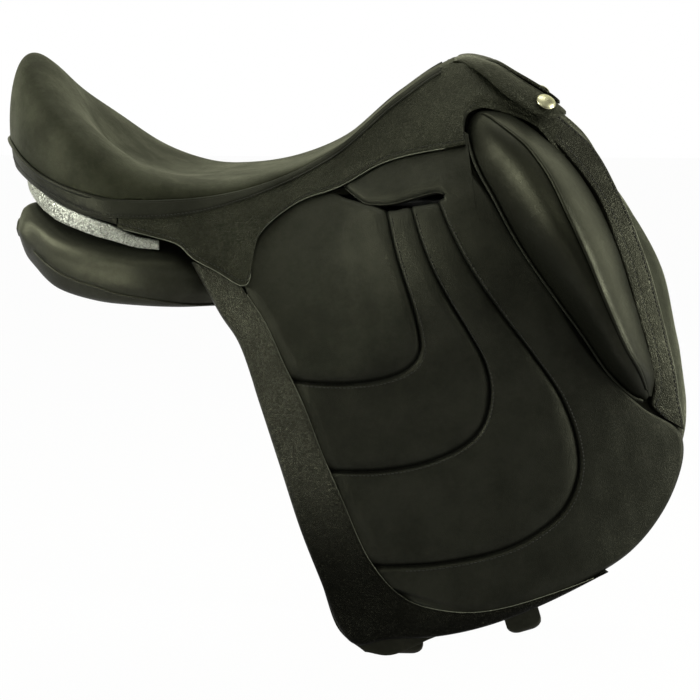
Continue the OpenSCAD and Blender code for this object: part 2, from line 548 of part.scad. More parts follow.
// sweat flap under the girth straps
sweat_rear = [[66, 2], [82, -44], [98, -95], [116, -150], [142, -196]];
sweat_front = [[338, 122], [364, 80], [384, 38], [396, -6], [405, -48], [411, -84], [408, -116],
    [390, -160], [330, -206]];
sweat_low = [[142, -196], [190, -212], [240, -218], [286, -214], [330, -206]];
sweat_high = [[66, 2], [130, -4], [200, 14], [270, 76], [338, 122]];
sweat_out = girth_out - 2 * girth_t - fold_gap - 5;
function sweat_grid(t) = patch_sheet(sweat_rear, sweat_front, sweat_low, sweat_high, 9, 9, t);
module sweat_flap_left() {
    color(black) slab(sweat_grid(sweat_out), sweat_grid(sweat_out - sweat_t));
}
module sweat_flap_right() {
    other_side() sweat_flap_left();
}

// girth straps, tucked up: each is folded at the foot, and its free end goes back up inside
strap_foot_z = -126;
// the front strap hangs from its top end, turned outward by this many degrees
front_top = 104;
front_flare = 0.35;
front_inset = 3.6;
module girth_strap(up, down, inset) {
    fold = fold_gap / 2 + girth_t;
    face = girth_out - inset;
    mid = face - fold;
    difference() {
        union() {
            translate([-girth_w / 2, face - girth_t, strap_foot_z])
                cube([girth_w, girth_t, up - strap_foot_z]);
            translate([-girth_w / 2, mid - fold, strap_foot_z])
                cube([girth_w, girth_t, down - strap_foot_z]);
            translate([-girth_w / 2, mid, strap_foot_z]) rotate([0, 90, 0]) rotate([0, 0, -90])
                rotate_extrude(angle = 180, $fn = 48)
                    translate([fold_gap / 2, 0]) square([girth_t, girth_w]);
        }
        for (i = [0 : 4])
            translate([0, mid - fold - 1, strap_foot_z + hole_rise + i * hole_step]) rotate([-90, 0, 0])
                cylinder(d = hole_d, h = girth_t + 2, $fn = 32);
    }
}
module girth_strap_rear_left() {
    color(black) on_surface(160, -160, 0) girth_strap(130, 20, 0);
}
module girth_strap_rear_right() {
    other_side() girth_strap_rear_left();
}
module girth_strap_front_left() {
    color(black) on_surface(224, -145, -17)
        translate([0, 0, front_top]) rotate([front_flare, 0, 0]) translate([0, 0, -front_top])
            girth_strap(front_top, 20, front_inset);
}
module girth_strap_front_right() {
    other_side() girth_strap_front_left();
}
// web that carries the girth straps from the tree
web_a = [[146, -58], [145, -25], [142, 8], [137, 42], [132, 76]];
web_b = [[206, -58], [198, -25], [188, 8], [178, 42], [168, 76]];
web_foot = girth_out - girth_t - 1.6;
function web_grid(d) = [for (u = steps(6)) [for (v = steps(2))
    let (t = web_foot + (point_out + 2.6 - web_foot) * ramp(0.2, 1, u) - 4.6 * v * (1 - u))
    on_side(smooth(web_a, u) * (1 - v) + smooth(web_b, u) * v, t - d)]];
module girth_web_left() {
    color(canvas) slab(web_grid(0), web_grid(2));
}
module girth_web_right() {
    other_side() girth_web_left();
}

// wooden point board that carries the stirrup bar
point_a = [[104, 76], [106, 96], [110, 116], [118, 132]];
point_b = [[205, 66], [206, 96], [204, 130], [200, 170]];
function point_grid(t) = [for (u = steps(6)) [for (v = steps(6))
    on_side(smooth(point_a, u) * (1 - v) + smooth(point_b, u) * v, t)]];
module tree_point_left() {
    color(wood) slab(point_grid(point_out), point_grid(point_out - point_t));
}
module tree_point_right() {
    other_side() tree_point_left();
}

// stirrup bar: riveted plate, front arm, round bar open at the back, eye for the safety catch
bar_x = 146;
bar_z = 100;
bar_len = 78;
plate_y = point_out + gap;
bar_y = plate_y + plate_t + leather_gap + bar_d / 2;
eye_x = -bar_len / 2 - 6;
module at_bar() {
    on_surface(bar_x, bar_z, 0) children();
}
bar_rivet_x = [-32, 0, 30];
module bar_solid() {
    difference() {
        union() {
            translate([-bar_len / 2, plate_y, -11]) cube([bar_len + 14, plate_t, 22]);
            translate([bar_len / 2, plate_y, -6]) cube([12, bar_y - plate_y + 3, 12]);
            translate([-bar_len / 2, bar_y, 0]) rotate([0, 90, 0])
                cylinder(d = bar_d, h = bar_len + 6, $fn = 48);
            translate([eye_x, bar_y - 2, -4]) cube([10, 4, 8]);
            translate([eye_x, bar_y - 2, 0]) rotate([-90, 0, 0]) cylinder(d = 10, h = 4, $fn = 48);
        }
        translate([eye_x, bar_y - 10, 0]) rotate([-90, 0, 0])
            cylinder(d = pin_d + 2 * pin_clear, h = 20, $fn = 32);
        for (x = bar_rivet_x)
            translate([x, plate_y - 1, 0]) rotate([-90, 0, 0])
                cylinder(d = rivet_d + 2 * rivet_clear, h = plate_t + 2, $fn = 32);
    }
}
module stirrup_bar_left() {
    color(steel) at_bar() bar_solid();
}
module stirrup_bar_right() {
    other_side() stirrup_bar_left();
}
module bar_rivets_one() {
    at_bar() for (x = bar_rivet_x)
        translate([x, plate_y + 0.3, 0]) rotate([-90, 0, 0]) {
            cylinder(d = rivet_d, h = plate_t, $fn = 32);
            translate([0, 0, plate_t]) cylinder(d1 = rivet_d + 3, d2 = rivet_d, h = 1.6, $fn = 32);
        }
}
module bar_rivets() {
    color(steel) {
        bar_rivets_one();
        other_side() bar_rivets_one();
    }
}
module head_rivets() {
    long = head_thick + head_t + gullet_t + 2 * gap + 1;
    color(steel) for (s = [-1, 1])
        at_head_rivets(s) {
            translate([0, 0, -head_thick - gap - gullet_t]) cylinder(d = rivet_d, h = long, $fn = 32);
            translate([0, 0, head_t + gap + 0.4]) cylinder(d = rivet_d + 4, h = 2, $fn = 32);
        }
}

// safety catch: a lever on the inner face of the eye, turning up on its pin
catch_y = bar_y - 2 - pin_clear - catch_t;
module catch_solid() {
    difference() {
        union() {
            translate([eye_x, catch_y, 0]) rotate([-90, 0, 0]) cylinder(d = 10, h = catch_t, $fn = 48);
            translate([eye_x - catch_len, catch_y, -4]) cube([catch_len, catch_t, 8]);
            translate([eye_x - catch_len, catch_y, 0]) rotate([-90, 0, 0])
                cylinder(d = 8, h = catch_t, $fn = 48);
        }
        translate([eye_x, catch_y - 1, 0]) rotate([-90, 0, 0])
            cylinder(d = pin_d + 2 * pin_clear, h = catch_t + 2, $fn = 32);
    }
}
module catch_left() {
    color(steel) at_bar() catch_solid();
}
module catch_right() {
    other_side() catch_left();
}
module pin_solid() {
    translate([eye_x, catch_y - pin_clear, 0]) rotate([-90, 0, 0]) {
        translate([0, 0, -1.5]) cylinder(d = pin_d + 3, h = 1.5, $fn = 32);
        cylinder(d = pin_d, h = 4 + catch_t + 3 * pin_clear, $fn = 32);
        translate([0, 0, 4 + catch_t + 3 * pin_clear]) cylinder(d = pin_d + 3, h = 1.5, $fn = 32);
    }
}
module catch_pin_left() {
    color(steel) at_bar() pin_solid();
}
module catch_pin_right() {
    other_side() catch_pin_left();
}

tree();
tree_head();
head_plate();
gullet_plate();
head_rivets();
spring_steels();
tree_point_left();
tree_point_right();
seat_webbing();
seat_foam();
seat_cover();
seat_welt();
skirt_left();
skirt_right();
cantle_facing();
cantle_band();
pommel_cover();
pommel_strap();
pommel_studs();
flap_left();
flap_right();
flap_pad_left();
flap_pad_right();
rear_edge_left();
rear_edge_right();
front_edge_left();
front_edge_right();
bar_cover_left();
bar_cover_right();
knee_block_left();
knee_block_right();
knee_welt_left();
knee_welt_right();
panel_left();
panel_right();
sweat_flap_left();
sweat_flap_right();
girth_web_left();
girth_web_right();
girth_strap_rear_left();
girth_strap_rear_right();
girth_strap_front_left();
girth_strap_front_right();
stirrup_bar_left();
stirrup_bar_right();
bar_rivets();
catch_left();
catch_right();
catch_pin_left();
catch_pin_right();
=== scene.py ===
import math

import bmesh
import bpy
import numpy as np
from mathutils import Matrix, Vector

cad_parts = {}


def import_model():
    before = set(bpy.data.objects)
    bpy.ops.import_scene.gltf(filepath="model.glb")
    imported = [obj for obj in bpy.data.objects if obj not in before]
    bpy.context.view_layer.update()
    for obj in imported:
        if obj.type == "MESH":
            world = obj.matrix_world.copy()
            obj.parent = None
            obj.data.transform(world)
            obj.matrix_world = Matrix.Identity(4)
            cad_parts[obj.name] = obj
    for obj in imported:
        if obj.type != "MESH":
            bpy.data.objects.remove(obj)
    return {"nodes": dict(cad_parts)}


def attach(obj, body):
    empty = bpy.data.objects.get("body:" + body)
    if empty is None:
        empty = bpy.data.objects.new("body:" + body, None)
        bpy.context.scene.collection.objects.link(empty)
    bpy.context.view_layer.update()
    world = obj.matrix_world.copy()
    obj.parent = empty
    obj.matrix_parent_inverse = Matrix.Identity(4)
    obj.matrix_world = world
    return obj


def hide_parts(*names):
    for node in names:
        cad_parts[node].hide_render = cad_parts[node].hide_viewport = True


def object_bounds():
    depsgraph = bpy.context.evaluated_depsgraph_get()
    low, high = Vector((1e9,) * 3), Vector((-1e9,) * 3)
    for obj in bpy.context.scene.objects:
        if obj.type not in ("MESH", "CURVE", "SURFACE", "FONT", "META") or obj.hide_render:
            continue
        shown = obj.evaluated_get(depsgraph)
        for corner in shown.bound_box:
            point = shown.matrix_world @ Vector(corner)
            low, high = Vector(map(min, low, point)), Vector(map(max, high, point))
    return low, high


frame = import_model()
cad_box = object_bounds()

# Lengths are in millimetres, in the frame of the CAD model; a mesh is scaled to metres when it is made.
MM = 0.001
SIDES = (("right", -1), ("left", 1))
BODY = "saddle"
UP = np.array([0.0, 0.0, 1.0])
FORWARD = np.array([1.0, 0.0, 0.0])

# sizes that the dressing shares with the solids
COVER_T, FOAM_T, WEB_T = 3.0, 10.0, 1.6
COVER_GAP, WEB_GAP = 1.8, 1.7
WELT_D, SKIRT_T, FACING_T, BAND_T, STRAP_T = 4.4, 3.0, 4.0, 4.0, 3.0
FLAP_T, PAD_T, GROOVE, EDGE_T, LIP_T, SWEAT_T = 4.0, 9.5, 6.0, 5.5, 5.0, 3.0
FLAP_GAP = 2.5
FLAP_OUT = -PAD_T - FLAP_GAP
FLAP_IN = FLAP_OUT - FLAP_T
EDGE_IN = FLAP_OUT + 0.9
GIRTH_T, FOLD_GAP = 3.5, 2.5
GIRTH_OUT = FLAP_IN - 0.6
SWEAT_OUT = GIRTH_OUT - 2 * GIRTH_T - FOLD_GAP - 5
POINT_OUT = -38.0
BLOCK_H, BLOCK_WELT_D = 56.0, 3.2


# curves and the side surface

def cubic(a, b, c, d, s):
    """The smooth curve from b to c; a and d are the points beside them."""
    return 0.5 * (2 * b + (c - a) * s + (2 * a - 5 * b + 4 * c - d) * s**2 + (3 * b - a - 3 * c + d) * s**3)


def smooth(points, t):
    """Points on a smooth curve through the listed points, t from 0 to 1."""
    p = np.asarray(points, float)
    t = np.asarray(t, float)
    n = len(p) - 1
    i = np.clip(np.floor(t * n).astype(int), 0, n - 1)
    ends = np.concatenate([[2 * p[0] - p[1]], p, [2 * p[-1] - p[-2]]])
    s = t * n - i
    return cubic(*(ends[i + k] for k in range(4)), s.reshape(s.shape + (1,) * (p.ndim - 1)))


def ramp(a, b, x):
    """Rises softly from 0 at a to 1 at b."""
    t = np.clip((np.asarray(x, float) - a) / (b - a), 0, 1)
    return t * t * (3 - 2 * t)


def bell(d, width):
    return np.exp(-(d / width) ** 2)


def norm(v):
    return np.linalg.norm(v, axis=-1)


def unit(v):
    return v / norm(v)[..., None]


def steps(n):
    return np.linspace(0, 1, n + 1)


def mirrored(p, sign=-1):
    return p * np.array([1, sign, 1])


def run_along(p):
    """How far each point lies along the first axis of its grid."""
    step = norm(np.diff(p, axis=0))
    return np.cumsum(np.concatenate([np.zeros_like(step[:1]), step]), 0)


def read(at, run, points):
    """Points of a polyline where its rising measure is as given."""
    return np.stack([np.interp(at, run, points[:, k]) for k in range(3)], -1)


TOP_START, TOP_RUN = -200, 600
TOP_Z = [118, 105, 93, 90, 93, 106, 132, 174, 204, 196, 166, 122, 80]
TOP_Y = [110, 125, 138, 132, 116, 95, 75, 58, 45, 50, 66, 86, 106]
SIDE_FALL, SIDE_OUT = 205, 178
FRONT_FROM, FRONT_BEND = 230, 0.0013
FLARE_FROM, FLARE = -60, 0.05
SLOPE_STEP = 2


def along(x):
    return np.clip((np.asarray(x, float) - TOP_START) / TOP_RUN, 0, 1)


def side_y(x, z):
    """The left side surface."""
    y = smooth(TOP_Y, along(x))
    t = np.clip((smooth(TOP_Z, along(x)) - z) / SIDE_FALL, 0, 1)
    low = SIDE_OUT - FRONT_BEND * np.maximum(0, x - FRONT_FROM) ** 2
    return y + (low - y) * (1 - (1 - t) ** 2) + FLARE * np.maximum(0, FLARE_FROM - z)


def side_n(p):
    """The normals of the side surface."""
    x, z, h = p[..., 0], p[..., 1], SLOPE_STEP
    a = (side_y(x + h, z) - side_y(x - h, z)) / (2 * h)
    b = (side_y(x, z + h) - side_y(x, z - h)) / (2 * h)
    return unit(np.stack([-a, np.ones_like(a), -b], -1))


def on_side(p, t):
    """Points over the left side surface: p holds x and z, t is the height over the surface."""
    x, z = p[..., 0], p[..., 1]
    t = np.broadcast_to(t, x.shape)
    return np.stack([x, side_y(x, z), z], -1) + t[..., None] * side_n(p)


def between(a, b, v):
    """Rows of points from curve a to curve b."""
    v = np.asarray(v, float)
    v = v[None, :, None] if v.ndim == 1 else v[..., None]
    return a[:, None] * (1 - v) + b[:, None] * v


def patch(rear, front, low, high, u, v):
    """A grid that spans four border curves."""
    l, r = smooth(rear, v)[None], smooth(front, v)[None]
    b, h = smooth(low, u)[:, None], smooth(high, u)[:, None]
    u, v = u[:, None, None], v[None, :, None]
    a0, a1, b0, b1 = (np.asarray(p, float) for p in (rear[0], rear[-1], front[0], front[-1]))
    return ((1 - u) * l + u * r + (1 - v) * h + v * b
            - ((1 - u) * (1 - v) * a0 + (1 - u) * v * a1 + u * (1 - v) * b0 + u * v * b1))


def crown(v, height):
    """A rounded rise across a sheet, v from 0 to 1; a quarter of the height in the middle."""
    return height * v * (1 - v)


def roll(d, radius):
    """How far a rounded edge has dropped at a distance d from it, as a share of its radius."""
    return 1 - np.sqrt(1 - (1 - np.clip(d / radius, 0, 1)) ** 2)


RIPPLES = ((2.1, 1.3, 0.4), (-1.2, 2.6, 1.9), (3.3, -1.7, 4.0), (0.7, 3.9, 2.2))


def ripple(p, size):
    """Slow unevenness of soft leather, about 1 at most."""
    a, b = p[..., 0] / size, p[..., 1] / size
    return sum(np.sin(i * a + j * b + k) for i, j, k in RIPPLES) / len(RIPPLES)


# meshes

def quads(index):
    a, b, c, d = index[:-1, :-1], index[1:, :-1], index[1:, 1:], index[:-1, 1:]
    return np.stack([a, b, c, d], -1).reshape(-1, 4)


def shell(outer, inner, open_rims=()):
    """A closed sheet from its outer and inner grid of points."""
    m, n = outer.shape[:2]
    o = np.arange(m * n).reshape(m, n)
    i = o + m * n
    rims = {"start": (o[0], i[0]), "end": (i[-1], o[-1]),
            "low": (i[:, 0], o[:, 0]), "high": (o[:, -1], i[:, -1])}
    faces = [quads(o), quads(i)[:, ::-1]]
    for name, (p, q) in rims.items():
        if name not in open_rims:
            faces.append(np.stack([p[:-1], q[:-1], q[1:], p[1:]], -1))
    return np.concatenate([outer.reshape(-1, 3), inner.reshape(-1, 3)]), np.concatenate(faces)


def side_sheet(rows, top, low):
    """A closed sheet over the side surface."""
    return shell(on_side(rows, top), on_side(rows, low))


def hoop(index):
    """Faces between rings of points."""
    return quads(np.concatenate([index, index[:, :1]], 1))


def circle(sides):
    return 2 * np.pi * np.arange(sides) / sides


TUBE_UP = [0.1, 0.2, 1]


def tube(path, radius, sides=10):
    """A round cord along a path, closed at its ends; the radius is one number, or one for each point."""
    t = unit(np.gradient(path, axis=0))
    s = unit(np.cross(t, TUBE_UP))
    w = np.cross(s, t)
    a = circle(sides)
    r = np.broadcast_to(radius, len(path))
    around = np.cos(a)[None, :, None] * s[:, None] + np.sin(a)[None, :, None] * w[:, None]
    points = (path[:, None] + r[:, None, None] * around).reshape(-1, 3)
    index = np.arange(len(points)).reshape(len(path), sides)
    first, last = len(points), len(points) + 1
    caps = [[first, first, *two] for two in zip(index[0], np.roll(index[0], -1))]
    caps += [[last, last, *two] for two in zip(np.roll(index[-1], -1), index[-1])]
    return np.concatenate([points, path[[0, -1]]]), np.concatenate([hoop(index), caps])


STITCH_RINGS = np.array([[-1, 0.3], [-0.72, 0.9], [0, 1], [0.72, 0.9], [1, 0.3]])
STITCH_SIDES = 6
STITCH_SLANT, STITCH_SINK, STITCH_ARCH, STITCH_FLAT = 0.12, 0.1, 0.35, 0.8
# pitch, length and width of the stitches on each piece
SKIRT_SEWING, STRIP_SEWING, CANTLE_SEWING = (3.4, 2.4, 0.9), (3.2, 2.2, 0.8), (3.8, 2.9, 0.8)
PAD_SEWING, FRONT_SEWING, PANEL_SEWING = (3.4, 2.4, 1.0), (3.8, 2.8, 1.3), (4.0, 3.0, 0.8)


def stitches(path, normal, pitch, length, width):
    """A row of sewn stitches along a path, each a short thread that dips into the leather at its ends."""
    run = run_along(path)
    count = max(2, int(run[-1] / pitch))
    at = (np.arange(count) + 0.5) * run[-1] / count
    p, n, t = (read(at, run, values) for values in (path, normal, np.gradient(path, axis=0)))
    n, t = unit(n), unit(t)
    t = unit(t + STITCH_SLANT * np.cross(n, t))
    s = np.cross(n, t)
    a = circle(STITCH_SIDES)
    x = STITCH_RINGS[:, 0] * length / 2
    r = STITCH_RINGS[:, 1:] * width / 2
    lift = STITCH_ARCH * (1 - STITCH_RINGS[:, :1] ** 2) - STITCH_SINK
    rings = (p[:, None, None] + x[None, :, None, None] * t[:, None, None]
             + (r * np.cos(a))[None, :, :, None] * s[:, None, None]
             + (lift + r * STITCH_FLAT * np.sin(a))[None, :, :, None] * n[:, None, None])
    index = np.arange(len(x) * STITCH_SIDES).reshape(len(x), STITCH_SIDES)
    ends = [index[0][[3, 2, 1, 0]], index[0][[5, 4, 3, 0]], index[-1][[0, 1, 2, 3]], index[-1][[0, 3, 4, 5]]]
    one = np.concatenate([hoop(index), ends])
    return rings.reshape(-1, 3), (one[None] + index.size * np.arange(count)[:, None, None]).reshape(-1, 4)


def side_stitches(line, level, pitch, length, width):
    return stitches(on_side(line, level), side_n(line), pitch, length, width)


def join(parts):
    points, faces, base = [], [], 0
    for p, f in parts:
        points.append(p)
        faces.append(f + base)
        base += len(p)
    return np.concatenate(points), np.concatenate(faces)


def new_object(name, data):
    obj = bpy.data.objects.new(name, data)
    bpy.context.scene.collection.objects.link(obj)
    return obj


BEVEL_SEGMENTS, BEVEL_ANGLE = 3, math.radians(50)


def round_edges(obj, width):
    rounding = obj.modifiers.new("edge", "BEVEL")
    rounding.width = width * MM
    rounding.segments = BEVEL_SEGMENTS
    rounding.limit_method = "ANGLE"
    rounding.angle_limit = BEVEL_ANGLE


def piece(name, shape, material, slot, nodes=(), bevel=0.0, merge=0.0, fill=None, crease=None):
    """An object that rides on the saddle and stands for CAD nodes; the shade values paint shade on its first
    points.
    """
    points, faces = shape
    mesh = bpy.data.meshes.new(name)
    clean = [list(dict.fromkeys(f)) for f in faces.tolist()]
    mesh.from_pydata((points * MM).tolist(), [], clean)
    # painted shade: the given values become a mesh attribute by which the leathers darken
    if crease is not None:
        shade = np.zeros(len(points))
        shade[:crease.size] = crease.ravel()
        mesh.attributes.new("crease", "FLOAT", "POINT").data.foreach_set("value", shade)
    bm = bmesh.new()
    bm.from_mesh(mesh)
    if merge:
        bmesh.ops.remove_doubles(bm, verts=bm.verts, dist=merge * MM)
    bmesh.ops.recalc_face_normals(bm, faces=bm.faces)
    bm.to_mesh(mesh)
    bm.free()
    mesh.shade_smooth()
    mesh.materials.append(material)
    obj = new_object(name, mesh)
    if bevel:
        round_edges(obj, bevel)
    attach(obj, BODY)
    if nodes:
        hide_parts(*nodes)


def pair(name, shape, material, slot, node=None, **more):
    """The same piece on both sides; the shape is the left one."""
    points, faces = shape
    for side, sign in SIDES:
        nodes = [f"{node}_{side}"] if node else []
        piece(f"{name}_{side}", (mirrored(points, sign), faces), material, slot, nodes, **more)


# materials

def empty_tree(owner, output):
    """Clears the node tree of a material or a world and gives it an output."""
    owner.use_nodes = True
    tree = owner.node_tree
    tree.nodes.clear()
    return tree, tree.nodes.new("ShaderNodeOutput" + output)


def connect(tree, node, **values):
    """Sets a node's inputs; a value may be a number, a colour or another node's output."""
    for key, value in values.items():
        socket = node.inputs[int(key[1:]) if key[0] == "i" and key[1:].isdigit() else key.replace("_", " ")]
        if isinstance(value, bpy.types.NodeSocket):
            tree.links.new(value, socket)
        else:
            socket.default_value = value
    return node


def add(tree, kind, settings=(), **values):
    node = tree.nodes.new("ShaderNode" + kind)
    for key, value in dict(settings).items():
        setattr(node, key, value)
    return connect(tree, node, **values)


def new_material(name):
    """A material, its node tree, its shader and the place of a point on the object."""
    material = bpy.data.materials.new(name)
    tree, out = empty_tree(material, "Material")
    shader = add(tree, "BsdfPrincipled")
    connect(tree, out, Surface=shader.outputs["BSDF"])
    return material, tree, shader, add(tree, "TexCoord").outputs["Object"]


def spread(tree, value, low, high, to_low, to_high):
    """Maps a value smoothly from one range to another."""
    node = add(tree, "MapRange", {"interpolation_type": "SMOOTHSTEP"}, Value=value, From_Min=low,
               From_Max=high, To_Min=to_low, To_Max=to_high)
    return node.outputs["Result"]


def tint(tree, factor, a, b):
    """Mixes two colours; each may be another node's output."""
    a, b = (c if isinstance(c, bpy.types.NodeSocket) else (*c, 1) for c in (a, b))
    return add(tree, "Mix", {"data_type": "RGBA"}, i0=factor, i6=a, i7=b).outputs[2]


def math_node(tree, operation, *values):
    inputs = {f"i{k}": value for k, value in enumerate(values)}
    return add(tree, "Math", {"operation": operation}, **inputs).outputs[0]


def vector_node(tree, operation, **values):
    return add(tree, "VectorMath", {"operation": operation}, **values).outputs[0]


def noise(tree, where, scale, detail, **more):
    return add(tree, "TexNoise", Vector=where, Scale=scale, Detail=detail, **more).outputs["Fac"]


def bump(tree, height, strength, distance, **more):
    return add(tree, "Bump", Height=height, Strength=strength, Distance=distance, **more).outputs[0]


LEATHER_SHEEN = (1.0, 1.0, 0.72, 1.0)


def leather(name, dark, light, rough, pebble, depth, specular=0.3, worn_edge=0.5, fleck=0.0):
    """Black leather: pebbles, each lighter or darker by fleck, with pores, mottling and worn edges; an
    attribute paints shade on it.
    """
    material, tree, shader, where = new_material(name)
    size = pebble * MM
    bend = add(tree, "TexNoise", Vector=where, Scale=0.35 / size, Detail=2.0).outputs["Color"]
    moved = vector_node(tree, "ADD", i0=where, i1=vector_node(tree, "SCALE", i0=bend, Scale=0.9 * size))
    cells = add(tree, "TexVoronoi", {"feature": "DISTANCE_TO_EDGE"}, Vector=moved, Scale=1 / size)
    domes = spread(tree, cells.outputs["Distance"], 0.0, 0.32, 0.0, 1.0)
    pores = noise(tree, where, 1500.0, 3.0)
    slow = noise(tree, where, 28.0, 5.0, Roughness=0.62)
    broad = noise(tree, where, 9.0, 2.0)
    fine = noise(tree, where, 230.0, 3.0, Roughness=0.6)
    height = math_node(tree, "MULTIPLY_ADD", domes, 0.75, math_node(tree, "MULTIPLY", pores, 0.4))
    grain = bump(tree, height, depth, 0.3 * size)
    crumple = bump(tree, slow, 0.2, 0.0014, Normal=grain)
    wear = math_node(tree, "MULTIPLY", fine, 0.15)
    wear = math_node(tree, "MULTIPLY_ADD", broad, 0.35, wear)
    wear = math_node(tree, "MULTIPLY_ADD", slow, 0.5, wear)
    if fleck:
        pebbles = add(tree, "TexVoronoi", Vector=moved, Scale=1 / size)
        chance = add(tree, "SeparateColor", Color=pebbles.outputs["Color"]).outputs[0]
        wear = math_node(tree, "ADD", wear, spread(tree, chance, 0.0, 1.0, -0.5 * fleck, 0.5 * fleck))
    base = tint(tree, spread(tree, wear, 0.34, 0.66, 0.0, 1.0), dark, light)
    edge = spread(tree, add(tree, "NewGeometry").outputs["Pointiness"], 0.53, 0.62, 0.0, worn_edge)
    worn = tint(tree, edge, base, [3.0 * c for c in light])
    # painted shade: the mesh attribute darkens the colour towards a fifth of the darkest tone and takes most
    # of the shine away
    crease = add(tree, "Attribute", {"attribute_name": "crease"}).outputs["Fac"]
    colour = tint(tree, crease, worn, [0.2 * c for c in dark])
    gloss = spread(tree, wear, 0.36, 0.64, rough + 0.07, rough - 0.07)
    polish = spread(tree, wear, 0.36, 0.64, 0.78 * specular, 1.28 * specular)
    shine = math_node(tree, "MULTIPLY", polish, spread(tree, crease, 0.0, 1.0, 1.0, 0.1))
    pits = math_node(tree, "MULTIPLY_ADD", domes, -0.1, gloss)
    connect(tree, shader, Normal=crumple, Base_Color=colour, Roughness=pits, Specular_IOR_Level=shine,
            Specular_Tint=LEATHER_SHEEN)
    return material


def thread_material(name, dark, light):
    material, tree, shader, where = new_material(name)
    ply = noise(tree, where, 1800.0, 1.0)
    connect(tree, shader, Normal=bump(tree, ply, 0.5, 0.0003), Base_Color=tint(tree, ply, dark, light),
            Roughness=0.6, Specular_IOR_Level=0.35)
    return material


def glitter_material():
    """Small flakes, each turned its own way."""
    material, tree, shader, where = new_material("glitter")
    flakes = add(tree, "TexVoronoi", Vector=where, Scale=850.0).outputs["Color"]
    tilt = vector_node(tree, "SUBTRACT", i0=flakes, i1=(0.5, 0.5, 0.5))
    lean = vector_node(tree, "SCALE", i0=tilt, Scale=0.8)
    turned = vector_node(tree, "ADD", i0=add(tree, "NewGeometry").outputs["Normal"], i1=lean)
    chance = add(tree, "SeparateColor", Color=flakes).outputs
    shade = spread(tree, chance[0], 0.0, 1.0, 0.0, 1.0)
    connect(tree, shader, Normal=vector_node(tree, "NORMALIZE", i0=turned), Metallic=0.35,
            Base_Color=tint(tree, shade, (0.19, 0.194, 0.178), (0.56, 0.57, 0.53)),
            Roughness=spread(tree, chance[1], 0.0, 1.0, 0.25, 0.6))
    return material


def metal_material(name, colour, rough, scratch):
    material, tree, shader, where = new_material(name)
    slow = noise(tree, where, 90.0, 3.0)
    connect(tree, shader, Normal=bump(tree, noise(tree, where, 900.0, 3.0), scratch, 0.0002), Metallic=1.0,
            Roughness=spread(tree, slow, 0.3, 0.7, rough - 0.05, rough + 0.1),
            Base_Color=tint(tree, slow, [0.8 * c for c in colour], colour))
    return material


def wave(tree, where, direction, scale, **more):
    node = add(tree, "TexWave", {"bands_direction": direction}, Vector=where, Scale=scale, **more)
    return node.outputs["Fac"]


def wood_material():
    material, tree, shader, where = new_material("stained_wood")
    warp = noise(tree, where, 18.0, 4.0)
    lines = wave(tree, where, "Z", 70.0, Distortion=4.0, Detail=3.0)
    streaks = math_node(tree, "MULTIPLY", warp, lines)
    connect(tree, shader, Base_Color=tint(tree, streaks, (0.018, 0.014, 0.011), (0.05, 0.038, 0.028)),
            Normal=bump(tree, lines, 0.2, 0.0004), Roughness=spread(tree, warp, 0.3, 0.7, 0.4, 0.6))
    return material


def foam_material():
    material, tree, shader, where = new_material("foam")
    cells = add(tree, "TexVoronoi", Vector=where, Scale=700.0).outputs["Distance"]
    connect(tree, shader, Base_Color=tint(tree, cells, (0.10, 0.10, 0.095), (0.05, 0.05, 0.047)),
            Normal=bump(tree, cells, 0.6, 0.0006), Roughness=0.9)
    return material


def webbing_material():
    material, tree, shader, where = new_material("webbing")
    weave = math_node(tree, "MAXIMUM", wave(tree, where, "X", 260.0), wave(tree, where, "Z", 260.0))
    connect(tree, shader, Base_Color=tint(tree, weave, (0.012, 0.012, 0.011), (0.045, 0.045, 0.042)),
            Normal=bump(tree, weave, 0.5, 0.0006), Roughness=0.8)
    return material


# each leather: its darkest and its lightest colour, roughness, size and depth of the pebbles, specular level
SMOOTH = leather("smooth_leather", (0.0062, 0.0066, 0.0057), (0.0110, 0.0117, 0.0100), 0.46, 1.0, 0.5, 0.22)
# the seat's leather is paler and yellower than the smooth leather: partly its own tone, partly painted sheen
# of its lit top
SEAT_PART_PAINTED_SHEEN = leather("seat_leather", (0.0092, 0.0100, 0.0062), (0.0215, 0.0232, 0.0142), 0.54, 1.0, 0.5, 0.2)
BLOCK = leather("block_leather", (0.0046, 0.0049, 0.0037), (0.0074, 0.0079, 0.0058), 0.4, 0.8, 0.22, 0.22)
GRAIN = leather("grained_leather", (0.0042, 0.0046, 0.0031), (0.0088, 0.0097, 0.0064), 0.45, 1.8, 0.95, 0.21,
                fleck=0.12)
TRIM = leather("trim_leather", (0.0074, 0.0075, 0.0066), (0.0190, 0.0192, 0.0168), 0.41, 1.5, 1.0, 0.44,
               fleck=0.22)
PALE_TRIM = leather("pale_trim_leather", (0.0072, 0.0074, 0.0060), (0.0176, 0.0182, 0.0150), 0.42, 1.4, 0.9,
                    0.55, fleck=0.07)
PLAIN = leather("plain_leather", (0.0064, 0.0066, 0.0054), (0.0115, 0.0119, 0.0095), 0.48, 1.1, 0.25, 0.26)
# the sweat flap's colours are raised far above the other leathers to paint the sheen that lies along it
SWEAT_PAINTED_SHEEN = leather("sweat_leather_painted_sheen", (0.0205, 0.0221, 0.0176), (0.0370, 0.0396, 0.0318), 0.42, 1.1, 0.25, 0.45)
PANEL = leather("panel_leather", (0.0070, 0.0074, 0.0058), (0.0112, 0.0118, 0.0094), 0.46, 0.9, 0.22, 0.48,
                worn_edge=0.0)
STRAP = leather("strap_leather", (0.0075, 0.0077, 0.0062), (0.0150, 0.0154, 0.0126), 0.5, 0.8, 0.3, 0.28)
